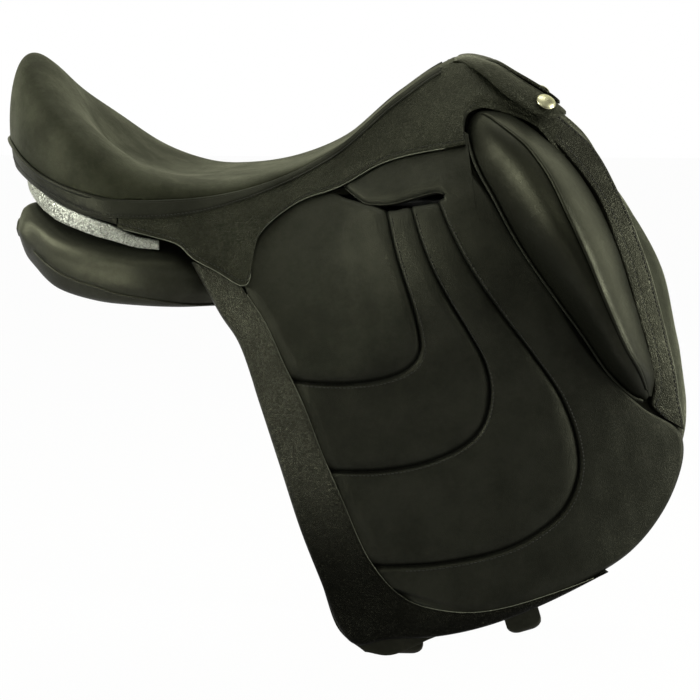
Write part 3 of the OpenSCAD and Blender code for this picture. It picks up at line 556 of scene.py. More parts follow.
# the pale cut edge of the strips and the skirt: partly the lighter cut leather, partly painted highlight
# where the edge catches the light
CUT_EDGE_HIGHLIGHT = leather("cut_edge_painted_highlight", (0.06, 0.062, 0.05), (0.13, 0.135, 0.11), 0.5, 0.9, 0.2)
THREAD = thread_material("thread", (0.004, 0.004, 0.0034), (0.026, 0.026, 0.021))
DARK_THREAD = thread_material("dark_thread", (0.0016, 0.0016, 0.0014), (0.006, 0.006, 0.005))
GLITTER = glitter_material()
STUD = metal_material("stud_metal", (0.58, 0.555, 0.385), 0.27, 0.3)
# painted shade: the steel is near black so that the stirrup bar seen inside the slot reads as the slot's
# shade
STEEL_DARKENED_FOR_SHADE = metal_material("steel", (0.035, 0.035, 0.036), 0.5, 0.35)
WOOD = wood_material()
FOAM = foam_material()
WEBBING = webbing_material()


# the seat: u from the pommel to the middle of the cantle, v from the middle line to the edge, k inward

EDGE_X = np.arange(196, -93, -24)
SEAT_EDGE = np.concatenate([
    np.stack([EDGE_X, smooth(TOP_Y, along(EDGE_X)), smooth(TOP_Z, along(EDGE_X))], -1),
    [[-115, 136, 97.5], [-137, 124, 104], [-159, 100, 112], [-177, 73, 122], [-190, 45, 131],
     [-198, 18, 135], [-200, 0, 136]]])
CENTRE_X = [196, 150, 104, 58, 14, -28, -58, -84, -100, -107, -110]
CENTRE_Z = [199, 173, 134, 115, 106, 101, 103, 112, 120, 126, 128]
ROLL = [3, 3, 4, 8, 14, 26, 56, 95, 115, 127, 132]
SHOULDER = [0, 0, 0, 0, 0, 1, 3, 14, 42, 76, 91]
INNER_RISE = [0, 0, 0, 0, 0, 0, 0, 1, 2, 3, 4]
LEAN = [0, 0, 0, 0, 0, 1, 3, 5, 6, 6, 6]
SEAT_ROUNDS = 40
STUFFED = 0.42, 0.78  # where the stuffed rear starts, and where it is full
LEAD_IN = (12.0, 9.0, 6.0, 3.0)


def seat(u, v, k):
    """Points of the left half of the seat, one row for each u and one column for each v."""
    u, v = np.asarray(u, float)[:, None], np.asarray(v, float)[None, :, None]
    s = ramp(*STUFFED, u)[..., None]
    lift = lambda values: smooth(values, u)[..., None] * UP
    c = np.stack([smooth(CENTRE_X, u), 0 * u, smooth(CENTRE_Z, u)], -1)
    w = smooth(SEAT_EDGE, u)
    f = (w - c) * [1, 1, 0]
    d = -unit(f)
    p0 = c - k * UP
    p4 = w + d * k * (0.2 + 0.8 * s) - k * (1 - 0.9 * s) * UP
    p1 = p0 + f * (0.25 - 0.08 * s) + lift(INNER_RISE)
    p2 = p0 + f * (0.6 - 0.16 * s) + lift(SHOULDER) - 0.2 * k * s * UP
    p3 = p4 - d * smooth(LEAN, u)[..., None] + lift(ROLL) - 1.3 * k * s * UP
    r = 1 - v
    return p0 * r**4 + 4 * p1 * r**3 * v + 6 * p2 * r**2 * v**2 + 4 * p3 * r * v**3 + p4 * v**4


def seat_rows(u, v, k):
    """Rows across the whole seat, from the right edge to the left one."""
    half = seat(u, v, k)
    return np.concatenate([mirrored(half[:, :0:-1]), half], 1)


def relax(grid, u, rounds):
    """Evens out the stuffed rear of the seat; the last row joins the two sides, and the edges stay."""
    column = np.arange(grid.shape[1])
    soft = ramp(0.46, 0.62, u)[1:, None] * ramp(0, 12, np.minimum(column, column[::-1]))[None, 1:-1]
    for _ in range(rounds):
        whole = np.concatenate([grid, grid[-2:-1, ::-1]])
        mean = (whole[:-2, 1:-1] + whole[2:, 1:-1] + whole[1:-1, :-2] + whole[1:-1, 2:]) / 4
        grid[1:, 1:-1] += soft[..., None] * (mean - grid[1:, 1:-1])
    return grid


def lead_in(grid, u):
    """Carries the front of the seat on under the pommel strap."""
    if u[0] > 0:
        return grid
    rise = 0.12 + 0.33 * ramp(40, 24, np.abs(grid[0, :, 1]))
    way = np.stack([0 * rise + 1, 0 * rise, rise], -1)
    return np.concatenate([np.stack([grid[0] + d * way for d in LEAD_IN]), grid])


def seat_shell(u, v, k0, k1, rounds=0):
    outer, inner = (lead_in(relax(seat_rows(u, v, k), u, rounds), u) for k in (k0, k1))
    return shell(outer, inner, ("end",) if u[-1] > 0.999 else ())


def seat_pieces():
    foam = COVER_T + COVER_GAP
    web = foam + FOAM_T + WEB_GAP
    cover = seat_shell(steps(150), steps(72), 0, COVER_T, SEAT_ROUNDS)
    filling = seat_shell(0.02 + 0.98 * steps(60), 0.86 * steps(30), foam, foam + FOAM_T)
    straps = seat_shell(0.06 + 0.7 * steps(40), 0.46 * steps(16), web, web + WEB_T)
    piece("seat_leather", cover, SEAT_PART_PAINTED_SHEEN, "smooth_leather", ["seat_cover"], bevel=0.7, merge=0.02, fill=0.8)
    piece("seat_filling", filling, FOAM, "foam", ["seat_foam"], merge=0.02, fill=0.9)
    piece("seat_straps", straps, WEBBING, "webbing", ["seat_webbing"])


def edge_out(p, aside=0.0):
    """Directions away from the seat at points of its edge."""
    return unit(np.stack([np.minimum(0, p[:, 0] + 60), p[:, 1] + aside, 0 * p[:, 0]], -1))


def welt_path(u):
    p = smooth(SEAT_EDGE, u)
    s = ramp(*STUFFED, u)[:, None]
    r = WELT_D / 2
    return p + edge_out(p, 0.01) * ((r + 0.4) * (1 - s) + 0.4 * s) - (1.4 * (1 - s) + (r + 0.6) * s) * UP


def round_trip(left):
    """Points from the right pommel round the cantle to the left pommel, from those of the left half."""
    return np.concatenate([mirrored(left), left[-2::-1]])


def at_turn(line, turn):
    """Points of a line round the cantle at the given angles from its middle."""
    angle = np.arctan2(line[:, 1], CANTLE_CENTRE[0] - line[:, 0])
    order = np.argsort(angle)
    return read(turn, angle[order], line[order])


def seat_welt():
    """The piping round the seat, and the leather that it is sewn to."""
    path = round_trip(welt_path(steps(220)))
    piece("seat_piping", tube(path, WELT_D / 2 - 0.2, 10), SMOOTH, "smooth_leather", ["seat_welt"])
    turn = np.linspace(0.02, math.pi / 2 - 0.03, 90)
    high = at_turn(welt_path(0.5 + 0.5 * steps(200)), turn) + 2 * UP
    low = at_turn(smooth(FACING_TOP - 5 * UP, steps(200)), turn)
    rows = between(round_trip(high[::-1]), round_trip(low[::-1]), steps(4))
    outward = from_cantle(rows)
    piece("piping_flange", shell(rows - 2.4 * outward, rows - 3.4 * outward), SMOOTH, "smooth_leather")
    edge = smooth(SEAT_EDGE, 0.62 * steps(120))
    out = edge_out(edge)
    rows = between(edge - 7 * out - 3.8 * UP, edge + 4.6 * out - 7 * UP, steps(4))
    pair("seat_flange", shell(rows, rows - 0.8 * UP), SMOOTH, "smooth_leather")


# the skirt: a row of points from its lower to its upper edge at each station

SKIRT_HIGH = [[-82, 85.5], [-60, 84.5], [-35, 84.5], [-10, 86.5], [15, 90.5], [40, 97.5], [65, 106.5],
              [90, 120.5], [115, 139.5], [140, 159.5], [165, 181.5], [190, 196.5]]
SKIRT_LOW = [[-84, 67], [-56, 60], [-34, 53], [-20, 41], [0, 30.5], [20, 19.5], [27.5, 25], [26, 42],
             [32, 57], [45, 71.5], [69, 87], [102, 98.5], [135, 117], [164, 126.5], [207.5, 135]]
NOSE_HIGH = [[190, 198], [202, 199], [215, 197], [228, 191], [240, 183], [252, 174], [265, 166], [280, 160],
             [294, 150], [304, 138]]
NOSE_LOW = [[207.5, 135], [206.5, 148], [209.5, 161], [221, 166], [234, 164], [247, 160], [260, 155],
            [271, 148], [282, 138], [291, 127]]
SKIRT_STEPS, NOSE_STEPS = 230, 90
SKIRT_IN = 1
SKIRT_TOP = SKIRT_IN + SKIRT_T
SKIRT_BORDER = np.array([0, 0.7, 1.6, 2.4, 3.0, 3.6, 4.2, 4.8, 5.8, 7.5])
SKIRT_STITCH, SKIRT_SEWN = 3.6, 256
NOSE_DIP, NOSE_SINK = 3.6, 9.5
STRIP_X = (-124.0, 186.0)
STRIP_W = (13.0, 5.0)
STRIP_T = 1.3
STRIP_ACROSS = np.array([0, 0.1, 0.25, 0.45, 0.6, 0.7, 0.78, 0.86, 0.93, 1.0])
STRIP_STITCH = 7
STRIP_TURN = -120, -88  # x where it passes from the cantle's back to the side


def nose_dip(ahead, d):
    """How far the skirt's lower edge dips in front, beside the knee block."""
    return NOSE_DIP * ramp(0.02, 0.25, ahead) * ramp(9, 0, d)


def skirt_pieces():
    body, nose = steps(SKIRT_STEPS), steps(NOSE_STEPS)[1:]
    high = np.concatenate([smooth(SKIRT_HIGH, body), smooth(NOSE_HIGH, nose)])
    low = np.concatenate([smooth(SKIRT_LOW, body), smooth(NOSE_LOW, nose)])
    ahead = np.concatenate([0 * body, nose])
    length = norm(high - low)
    border = np.minimum(SKIRT_BORDER[None] / length[:, None], 0.5)
    rest = border[:, -1:] + (1 - border[:, -1:]) * steps(18)[None, 1:]
    share = np.concatenate([border, rest], 1)
    rows = between(low, high, share)
    d = share * length[:, None]
    top = SKIRT_TOP - 0.55 * bell(d - SKIRT_STITCH, 0.9) - 0.7 * roll(d, 1.6)
    top = top + 0.35 * ripple(rows, 16) * ramp(5, 25, d)
    top = top - np.maximum(nose_dip(ahead[:, None], d), NOSE_SINK * ramp(0.6, 0.98, ahead)[:, None])
    sheet = side_sheet(rows, top, np.minimum(SKIRT_IN, top - 0.6))
    pair("skirt_leather", sheet, GRAIN, "grained_leather", "skirt", bevel=0.5)
    line = (low + (high - low) * (SKIRT_STITCH / length)[:, None])[:SKIRT_SEWN]
    level = SKIRT_TOP - 0.45 - nose_dip(ahead[:SKIRT_SEWN], SKIRT_STITCH)
    pair("skirt_stitches", side_stitches(line, level, *SKIRT_SEWING), THREAD, "grained_leather")
    # a pale bead along the skirt's lower edge, partly painted highlight
    bead = on_side(low[3:SKIRT_STEPS - 5], SKIRT_IN + 0.55 * SKIRT_T)
    pair("skirt_bead", tube(bead, 0.6, 6), CUT_EDGE_HIGHLIGHT, "grained_leather")
    flange_pieces()


def at_x(curve, x):
    """Points of a line along the side of the cantle at the given x; it is straight before its first point."""
    p = smooth(curve, 0.5 * steps(60))[::-1]
    lead = p[-1] - p[-2]
    p = np.concatenate([p, [p[-1] + lead * 200 / abs(lead[0])]])
    return read(x, p[:, 0], p)


def flange_pieces():
    """The smooth strip that is sewn over the top of the skirt and runs out on the cantle's back."""
    v = STRIP_ACROSS
    x = STRIP_X[0] + (STRIP_X[1] - STRIP_X[0]) * steps(240)
    top = np.stack([x, smooth(TOP_Z, along(x)) - 3.4], -1)
    breadth = STRIP_W[0] + (STRIP_W[1] - STRIP_W[0]) * ramp(-70, 60, x)
    down = np.stack([0.25 * ramp(30, 120, x), -np.ones_like(x)], -1)
    hem = bell((1 - v[None]) * breadth[:, None] - 1.9, 0.6)
    thin = 0.9 * v[None] ** 6 + 0.5 * hem
    rows = top[:, None] + down[:, None] * (v[None] * breadth[:, None])[..., None]
    side = on_side(rows, SKIRT_TOP + STRIP_T - thin)
    share = FACING_STITCH * v + 0.09 * v
    back = between(at_x(FACING_TOP, x), at_x(FACING_LOW, x), share)
    outward = from_cantle(back)
    lift = crown(share, FACING_CROWN) + STRIP_T * ramp(STRIP_X[0], STRIP_X[0] + 14, x)[:, None] - 0.5 - thin
    blend = ramp(*STRIP_TURN, x)[:, None, None]
    skin = (back + lift[..., None] * outward) * (1 - blend) + side * blend
    face = unit(outward * (1 - blend) + side_n(rows) * blend)
    # painted shade along the groove of the stitched hem
    pair("skirt_strip", shell(skin, skin - STRIP_T * face), SMOOTH, "smooth_leather", bevel=0.3,
         crease=0.6 * hem)
    line, normal = skin[:, STRIP_STITCH], face[:, STRIP_STITCH]
    rows = stitches(line + 0.1 * normal, normal, *STRIP_SEWING)
    pair("strip_stitches", rows, THREAD, "smooth_leather")


# the back of the cantle and the band under it

FACING_LOW = [[-85.2, 141.5, 69.6], [-102, 138.5, 74], [-119, 132, 78], [-137, 120, 85], [-157, 98, 93],
              [-174, 72, 101], [-187, 44, 107], [-194, 18, 110], [-196, 0, 111]]
FACING_HIGH = [[-83.4, 141, 85.6], [-102, 138.5, 88.8], [-117, 133.5, 92.8], [-137, 122, 98.8],
               [-158, 98.5, 106.8], [-176, 72, 116.8], [-188.5, 44, 125.8], [-196.5, 18, 129.8],
               [-198.5, 0, 130.8]]
BAND_HIGH = [[-50, 137, 56], [-70, 138, 60], [-90, 137, 68.5], [-104, 135, 73], [-121, 128.5, 78.5],
             [-140, 115, 85], [-157, 93, 92.5], [-170, 66, 100], [-178, 41, 106], [-182, 17, 109],
             [-183, 0, 110]]
BAND_LOW = [[-50, 138, 48], [-70, 139, 50], [-90, 138, 55.5], [-104, 136, 59], [-121, 129.5, 64],
            [-140, 116, 70], [-157, 94, 78], [-170, 67, 86], [-178, 42, 92], [-182, 17, 95], [-183, 0, 96]]
CANTLE_CENTRE = np.array([-80.0, 0.0, 0.0])
FACING_STITCH = 0.70
FACING_LIFT = 3.4
FACING_CROWN, BAND_CROWN = 5, 4
FACING_TOP = np.array(FACING_HIGH) + FACING_LIFT * UP


def from_cantle(p):
    """Level directions away from the middle of the cantle."""
    return unit((p - CANTLE_CENTRE) * [1, 1, 0])


def ring(high, low, v, d):
    """Rows round the cantle between two lines, pushed outward by d."""
    rows = between(round_trip(smooth(high, steps(110))), round_trip(smooth(low, steps(110))), v)
    return rows + np.broadcast_to(d, rows.shape[:2])[..., None] * from_cantle(rows)


def cantle_pieces():
    v = steps(16)
    bulge = crown(v, FACING_CROWN)
    outer = ring(FACING_TOP, FACING_LOW, v, bulge - 0.5 * bell(v - FACING_STITCH, 0.06))
    inner = ring(FACING_TOP, FACING_LOW, v, bulge - FACING_T)
    piece("cantle_leather", shell(outer, inner), SMOOTH, "smooth_leather", ["cantle_facing"], bevel=0.8)
    line = ring(FACING_TOP, FACING_LOW, [FACING_STITCH], crown(FACING_STITCH, FACING_CROWN) - 0.35)[:, 0]
    rows = stitches(line, from_cantle(line), *CANTLE_SEWING)
    piece("cantle_stitches", rows, THREAD, "smooth_leather")
    v = steps(10)
    bulge = crown(v, BAND_CROWN)
    outer, inner = (ring(BAND_HIGH, BAND_LOW, v, d) for d in (bulge, bulge - BAND_T))
    piece("cantle_trim", shell(outer, inner), GLITTER, "glitter", ["cantle_band"], bevel=0.8)


# pommel: the arch cover and the strap round the cut-back

ARCH = np.array([[0, 172], [26, 169], [50, 156], [70, 131], [90, 97], [106, 62]], float)
HEAD_X, HEAD_LEN, HEAD_T, GAP = 208.0, 40.0, 3.0, 0.5
STRAP_LOW = [[285, 150.5], [270.5, 153], [253.5, 162], [237.5, 172.5], [219.5, 188.5]]
STRAP_LOW_TOP = [[203, 49, 204.4], [200.5, 28, 205], [199.5, 0, 205.4]]
STRAP_HIGH = [[296, 75, 158], [284.5, 78, 167], [268, 74, 177.5], [251, 66, 187.5], [235, 50, 197.5],
              [226, 30, 202], [221, 12, 204], [219.5, 0, 204.5]]
STRAP_GAP = 3.0
STRAP_SINK = 3.6
STRAP_CROWN, STRAP_BACK = 12, 3.0
STRAP_HEM_AT, STRAP_HEM = 0.55, 7.0
FRONT_REACH, FRONT_IN = 0.8, 0.92
COVER_LOW, COVER_TOP = GAP + HEAD_T + 3.5, GAP + HEAD_T + 6
STRAP_END, STRAP_ACROSS = 0.12, 24


def arch_line(d):
    """The head arch seen from the front, from right to left, at a distance d over the tree."""
    t = unit(np.array([ARCH[min(5, i + 1)] - ARCH[max(0, i - 1)] for i in range(6)]))
    p = ARCH + d * np.stack([-t[:, 1], t[:, 0]], -1)
    p[0] = [0, ARCH[0, 1] + d]
    half = smooth(p, steps(50))
    return np.concatenate([half[:0:-1] * [-1, 1], half])


def pommel_cover():
    x = HEAD_X + 1 + (HEAD_LEN + 12) * steps(14)
    lines = [arch_line(d) for d in (COVER_TOP, COVER_LOW)]
    outer, inner = (np.stack([np.column_stack([np.full(len(p), a), p]) for a in x]) for p in lines)
    piece("pommel_leather", shell(outer, inner), SMOOTH, "smooth_leather", ["pommel_cover"], bevel=0.9)


def strap_point(w, v, d):
    """Points of the pommel strap: w along it from the left end, v across it, d over its underside."""
    foot = np.concatenate([on_side(np.array(STRAP_LOW, float), SKIRT_TOP + STRAP_GAP), STRAP_LOW_TOP])
    u = 1 - np.abs(1 - w)
    e = np.minimum(1, u / STRAP_END)
    share = np.maximum(0.3, np.sqrt(1 - (1 - e) ** 2))
    s = 0.5 + (v[None] - 0.5) * share[:, None]
    p = between(smooth(foot, u), smooth(STRAP_HIGH, u), s)
    p = p + (crown(s, STRAP_CROWN) + d - STRAP_SINK * ramp(0.5, 0.85, u)[:, None])[..., None] * UP
    p[..., 0] -= STRAP_BACK * (ramp(0.55, 0.9, u)[:, None] * (1 - s))
    return np.where((w > 1)[:, None, None], mirrored(p), p)


def strap_line(w, v, d):
    return strap_point(w, np.array([v]), d)[:, 0]


def pommel_strap():
    """The strap, the hem that closes it against the seat, the leather before the arch, the strap's edge."""
    a = 2 * steps(220) - 1
    w = 1 + a * (1 - 0.25 * (1 - np.abs(a)) * np.abs(a))
    v = steps(18)
    rim = 0.8 * (roll(v * STRAP_ACROSS, 2.2) + roll((1 - v) * STRAP_ACROSS, 2.2))
    band = shell(strap_point(w, v, STRAP_T - rim), strap_point(w, v, 0))
    piece("pommel_band", band, GRAIN, "grained_leather", ["pommel_strap"], bevel=0.6)
    hem = strap_line(w[np.abs(w - 1) < 1 - STRAP_HEM_AT], 0.16, 0.5)
    rows = between(hem, hem - STRAP_HEM * UP, steps(3))
    piece("strap_hem", shell(rows, rows + FORWARD), GRAIN, "grained_leather")
    edge = strap_line(1 + FRONT_REACH * (2 * steps(160) - 1), 0.9, 0.4)
    arch = arch_line(COVER_TOP)
    x = np.clip(edge[:, 0] + 8, HEAD_X + 4, HEAD_X + HEAD_LEN + 11)
    y = FRONT_IN * edge[:, 1]
    v = steps(12)
    rows = between(edge, np.stack([x, y, np.interp(y, arch[:, 0], arch[:, 1]) - 1], -1), v)
    rows = rows + (4 * np.sin(math.pi * v))[None, :, None] * FORWARD
    piece("pommel_front", shell(rows, rows - 1.5 * FORWARD), SMOOTH, "smooth_leather")
    rope = strap_line(w[np.abs(w - 1) < 0.8], 0.985, 1.4)
    piece("strap_edge", tube(rope, 1.9, 10), GRAIN, "grained_leather")


# the flap, its pad and its edge strips

FLAP_REAR = [[-18, 40], [2, 1], [21, -28], [38, -77], [54, -126], [72, -182], [89, -229], [103, -268],
             [126, -288]]
FLAP_FRONT = [[288, 166], [320, 134], [345, 89], [367, 37], [380, -14], [391, -60], [398, -104], [386, -162],
              [340, -211]]
FLAP_LOW = [[126, -288], [150, -290], [186, -274], [226, -262], [274, -244], [314, -226], [340, -211]]
FLAP_HIGH = [[-18, 40], [24, 46], [60, 68], [100, 80], [134, 75], [170, 75], [198, 84], [209, 128],
             [240, 152], [288, 166]]


def flap_piece():
    grid = patch(FLAP_REAR, FLAP_FRONT, FLAP_LOW, FLAP_HIGH, steps(90), steps(80))
    pair("flap_leather", side_sheet(grid, FLAP_OUT, FLAP_IN), PLAIN, "flap_leather", "flap", bevel=1.2)


# the pad's upper border, its three channels and its outer border, from the slot to the rear strip
PAD_CURVES = [
    [[96, 95.5], [91, 97], [82, 96], [70, 93], [58, 87], [47, 78], [38, 69], [30, 58], [24, 47], [20, 36],
     [20, 26], [24, 16]],
    [[141, 80.5], [145, 65.5], [150, 48], [157, 28], [164, 8], [170, -14], [171, -31], [163, -44], [146, -53],
     [122, -58], [94, -59], [65, -57]],
    [[162, 85], [170, 62], [180, 39], [195, 12], [211, -14], [225, -40], [230, -66], [224, -93], [207, -111],
     [176, -125], [138, -132], [96, -133]],
    [[184, 93], [197, 66], [216, 33], [240, -1], [266, -35], [289, -69], [303, -106], [304, -138],
     [288, -169], [248, -195], [192, -209], [134, -213]],
    [[214, 113], [229, 94], [250, 60], [282, 14], [316, -37], [356, -78], [394, -107], [386, -156],
     [350, -203], [292, -232], [222, -252], [156, -237]]]
PAD_STITCH = 3.2
CHANNEL = 3.2
SLOT_RISE = 4.6
PAD_ROLL = 17.0
PAD_TUCK = 4.0
PAD_SPREAD = 40
TUCKED = 0.74, 0.82  # where along the pad its outer border goes under the rear strip
SLOT_STEPS = (1.0, 0.8, 0.6, 0.4, 0.2)
TUCK_STEPS = (1.2, 2.4, PAD_TUCK)


def pad_lines(u):
    return np.stack([smooth(line, u) for line in PAD_CURVES], 1)


def pad_at(u, q):
    """x and z on the pad: u along the channels from the slot to the rear strip, q across them."""
    return np.swapaxes(smooth(np.swapaxes(pad_lines(u), 0, 1), np.asarray(q) / 4), 0, 1)


def pad_sections(u, q):
    """The section of each q, its breadth at each u, and how far the lines under and over a point are."""
    k = np.clip(np.floor(q).astype(int), 0, 3)
    size = norm(np.diff(pad_lines(u), axis=1))[:, k]
    w = (q - k)[None]
    return k[None], size, (1 - w) * size, w * size


def pad_height(u, q, grid):
    """Height of the pad: each section rolls down into the channel under it and starts flat below the next."""
    k, size, under, over = pad_sections(u, q)
    start, end = run_along(grid), run_along(grid[::-1])[::-1]
    u, q = u[:, None], q[None]
    deep = GROOVE * (0.72 + 0.28 * ramp(0.45, 0.75, u))
    drop = deep * roll(under, np.minimum(PAD_ROLL, 0.6 * size)) * (k < 3)
    seam = CHANNEL * np.clip(1 - over / 3.0, 0, 1) ** 2 + np.clip(1 - over / PAD_SPREAD, 0, 1) ** 2
    drop = drop + (k > 0) * seam
    drop = drop + (k == 0) * 3.0 * roll(over, 6.0)
    free = ramp(0.5, 0.56, u) * ramp(*TUCKED[::-1], u)
    tucked = ramp(*TUCKED, u)
    rim = 2.2 * roll(under, 4.0) * (1 - free) * (1 - tucked) + (PAD_T - 1.2) * roll(under, 5.5) * free
    drop = drop + (k == 3) * (rim + 2.4 * ramp(13, 2, under) * tucked)
    drop = drop + 2.4 * ramp(16, 5, end) + 4.0 * roll(start, 7.0) * (q < 3.2)
    soft = 0.5 * ripple(grid, 30) + 0.35 * ripple(grid[..., ::-1], 13)
    calm = 1 - (q > 2.9) * ramp(34, 8, start)
    return np.maximum(-drop + soft * np.exp(-0.4 * drop) * calm, -PAD_T + 0.8)


def pad_crease(u, q):
    """Painted shade on the pad near its stitched channels, from 0 to 1."""
    k, _, under, over = pad_sections(u, q)
    near = np.maximum((k < 3) * ramp(5.5, 0.8, under), (k > 0) * ramp(2.8, 0.6, over))
    return near * (0.22 + 0.4 * ramp(0.05, 0.4, u))[:, None]


def section(n):
    """Spacing across one quilted section, closer together at its borders."""
    s = steps(n)
    return s - 0.11 * np.sin(2 * np.pi * s)


def pad_pieces():
    u = steps(190)
    q = np.concatenate([[0]] + [k + section(34)[1:] for k in range(4)])
    grid = pad_at(u, q)
    out = unit(grid[:, -1] - grid[:, -4]) * (PAD_TUCK * ramp(0.74, 0.84, u))[:, None]
    grid[:, -1] += out
    grid[:, -2] += 0.5 * out
    back = unit(grid[-1] - grid[-4])
    ahead = unit(grid[0] - grid[2]) * (SLOT_RISE * ramp(0.1, 0.9, q) * ramp(3.4, 1.4, q))[:, None]
    first, last = [grid[0] + ahead * e for e in SLOT_STEPS], [grid[-1] + back * e for e in TUCK_STEPS]
    grid = np.concatenate([first, grid, last])
    u = np.concatenate([np.zeros(len(SLOT_STEPS)), u, np.ones(len(TUCK_STEPS))])
    pad = side_sheet(grid, pad_height(u, q, grid), -PAD_T)
    # painted shade in the quilted channels
    pair("pad_leather", pad, SMOOTH, "smooth_leather", "flap_pad", bevel=0.6, fill=0.7,
         crease=pad_crease(u, q))
    u = 0.015 + 0.965 * steps(200)
    level = 0.1 - (1 - PAD_STITCH / PAD_SPREAD) ** 2 - 2.4 * ramp(0.955, 1.0, u)
    rows = []
    for k in (1, 2, 3):
        size = norm(np.diff(pad_lines(u), axis=1))[:, k]
        line = [pad_at(u[i:i + 1], k + PAD_STITCH / size[i:i + 1])[0, 0] for i in range(len(u))]
        rows.append(side_stitches(np.stack(line), level, *PAD_SEWING))
    pair("pad_stitches", join(rows), THREAD, "smooth_leather")


REAR_OUTER = [[-21, 41], [2, 0], [20, -28], [37, -77], [53, -126], [71, -182], [89, -228], [103, -264],
              [119, -281], [146, -276], [186, -273], [226, -264], [274, -246], [331, -219.5]]
REAR_INNER = [[16, 23], [38, -9], [54, -41], [71, -77], [88, -121], [105, -160], [120, -195], [133, -217],
              [151, -237], [172, -248], [206, -253], [240, -249], [286, -235], [331, -217.5]]
FRONT_INNER = [[261, 162], [292, 136], [324, 95], [340, 58], [350, 29], [358, 1], [366, -26], [371, -50],
               [372, -66], [368, -79], [378, -90]]
FRONT_OUTER = [[287, 163], [320, 132], [344, 87], [357, 56], [366, 31], [374, 2], [381, -24], [388, -53],
               [391, -74], [394, -88], [396, -101]]
EDGE_TOP = -PAD_T + EDGE_T
STRIP_OVER = 3.6
STRIP_UNDER = 4.2
STRIP_RISE = 2.9
# strength of the painted shade at the foot of the rear strip and at the head and tip of the front strip
FOOT_SHADE, HEAD_SHADE, TIP_SHADE = 0.85, 0.6, 0.5
FRONT_STITCH = 2.9
BEAD_IN, BEAD_DROP = 0.6, 0.75


def strip_rows(a, b, border, n):
    """Rows from a to b that keep the listed distances at both borders; shares, distances from a and b."""
    length = norm(b - a)[:, None]
    edge = np.minimum(np.array(border)[None] / length, 0.32)
    mid = edge[:, -1:] + (1 - 2 * edge[:, -1:]) * steps(n)[None, 1:-1]
    share = np.concatenate([edge, mid, 1 - edge[:, ::-1]], 1)
    return between(a, b, share), share, share * length, (1 - share) * length


def strip_bead(name, a, b, level, radius):
    """The pale cut edge of a strip along b; its paleness is partly painted highlight."""
    line = (b + unit(a - b) * BEAD_IN)[6:-6]
    pair(name, tube(on_side(line, level - BEAD_DROP), radius, 6), CUT_EDGE_HIGHLIGHT, "grained_leather")


def rear_strip():
    u = steps(280)
    a, b = smooth(REAR_OUTER, u), smooth(REAR_INNER, u)
    b = b + unit(b - a) * (STRIP_OVER * ramp(1.0, 0.9, u))[:, None]
    rows, share, d, back = strip_rows(a, b, [0, 0.5, 1.2, 2.2, 3.4, 5.0], 16)
    top = EDGE_TOP + STRIP_RISE * ramp(0.1, 1.0, share) + 0.9 * np.sin(np.pi * share)
    top = top - 4.6 * roll(d, 5.5) - 0.8 * roll(back, 1.0) - 0.5 * bell(back - 2.0, 0.5)
    top = top + 0.3 * ripple(rows, 15) * ramp(2, 8, d) * ramp(3, 9, back)
    # painted shade: the strip darkens towards its lower end, which turns away from the light
    pair("rear_strip", side_sheet(rows, top, EDGE_IN), TRIM, "grained_leather", "rear_edge", bevel=0.4,
         crease=FOOT_SHADE * ramp(-70, -225, rows[..., 1]))
    strip_bead("strip_bead", a, b, EDGE_TOP + STRIP_RISE, 0.55)


def front_strip():
    u = steps(190)
    a, b = smooth(FRONT_INNER, u), smooth(FRONT_OUTER, u)
    under = (STRIP_UNDER * ramp(0.95, 0.75, u))[:, None]
    a = a + unit(a - b) * under
    rows, share, d, back = strip_rows(a, b, [0, 0.5, 1.2, 2.2, 2.9, 3.6, 4.4], 14)
    sewn = bell(d - FRONT_STITCH - under, 0.7) + bell(back - FRONT_STITCH, 0.7)
    top = EDGE_TOP + 0.7 * np.sin(np.pi * share) - 1.2 * roll(d, 1.6) - 1.2 * roll(back, 1.6) - 0.45 * sewn
    sheet = side_sheet(rows, top + 0.2 * ripple(rows, 12), EDGE_IN)
    z = rows[..., 1]
    # painted shade: the strip darkens towards its upper end and towards its tip
    shade = np.maximum(HEAD_SHADE * ramp(-70, 110, z), TIP_SHADE * ramp(-15, -75, z))
    pair("front_strip", sheet, PALE_TRIM, "grained_leather", "front_edge", bevel=0.5, crease=shade)
    lines = a + unit(b - a) * (FRONT_STITCH + under), b + unit(a - b) * FRONT_STITCH
    parts = [side_stitches(line, EDGE_TOP - 0.1, *FRONT_SEWING) for line in lines]
    pair("front_stitches", join(parts), DARK_THREAD, "grained_leather")
    strip_bead("front_bead", a, b, EDGE_TOP, 0.45)


# the leather over the stirrup bar; the slot for the stirrup leather opens under its lower edge

LIP_HIGH = [[96, 109], [110, 124], [126, 132], [143, 139], [160, 145], [176, 147.5], [190, 148.5], [201, 149],
            [208, 146]]
LIP_LOW = [[104, 100], [114.4, 92.7], [125, 87.7], [144, 88.3], [159, 92.2], [171, 95.9], [187, 98.8],
           [202, 88], [218, 78]]
LIP_END_HIGH = [94, 113, 117, 134, 150, 161], [232, 221, 219, 212, 209, 212]
LIP_END_LOW = [68, 95, 117, 134, 150], [247, 232, 219, 212, 209]
LIP_STEPS, LIP_RIM = 120, 93


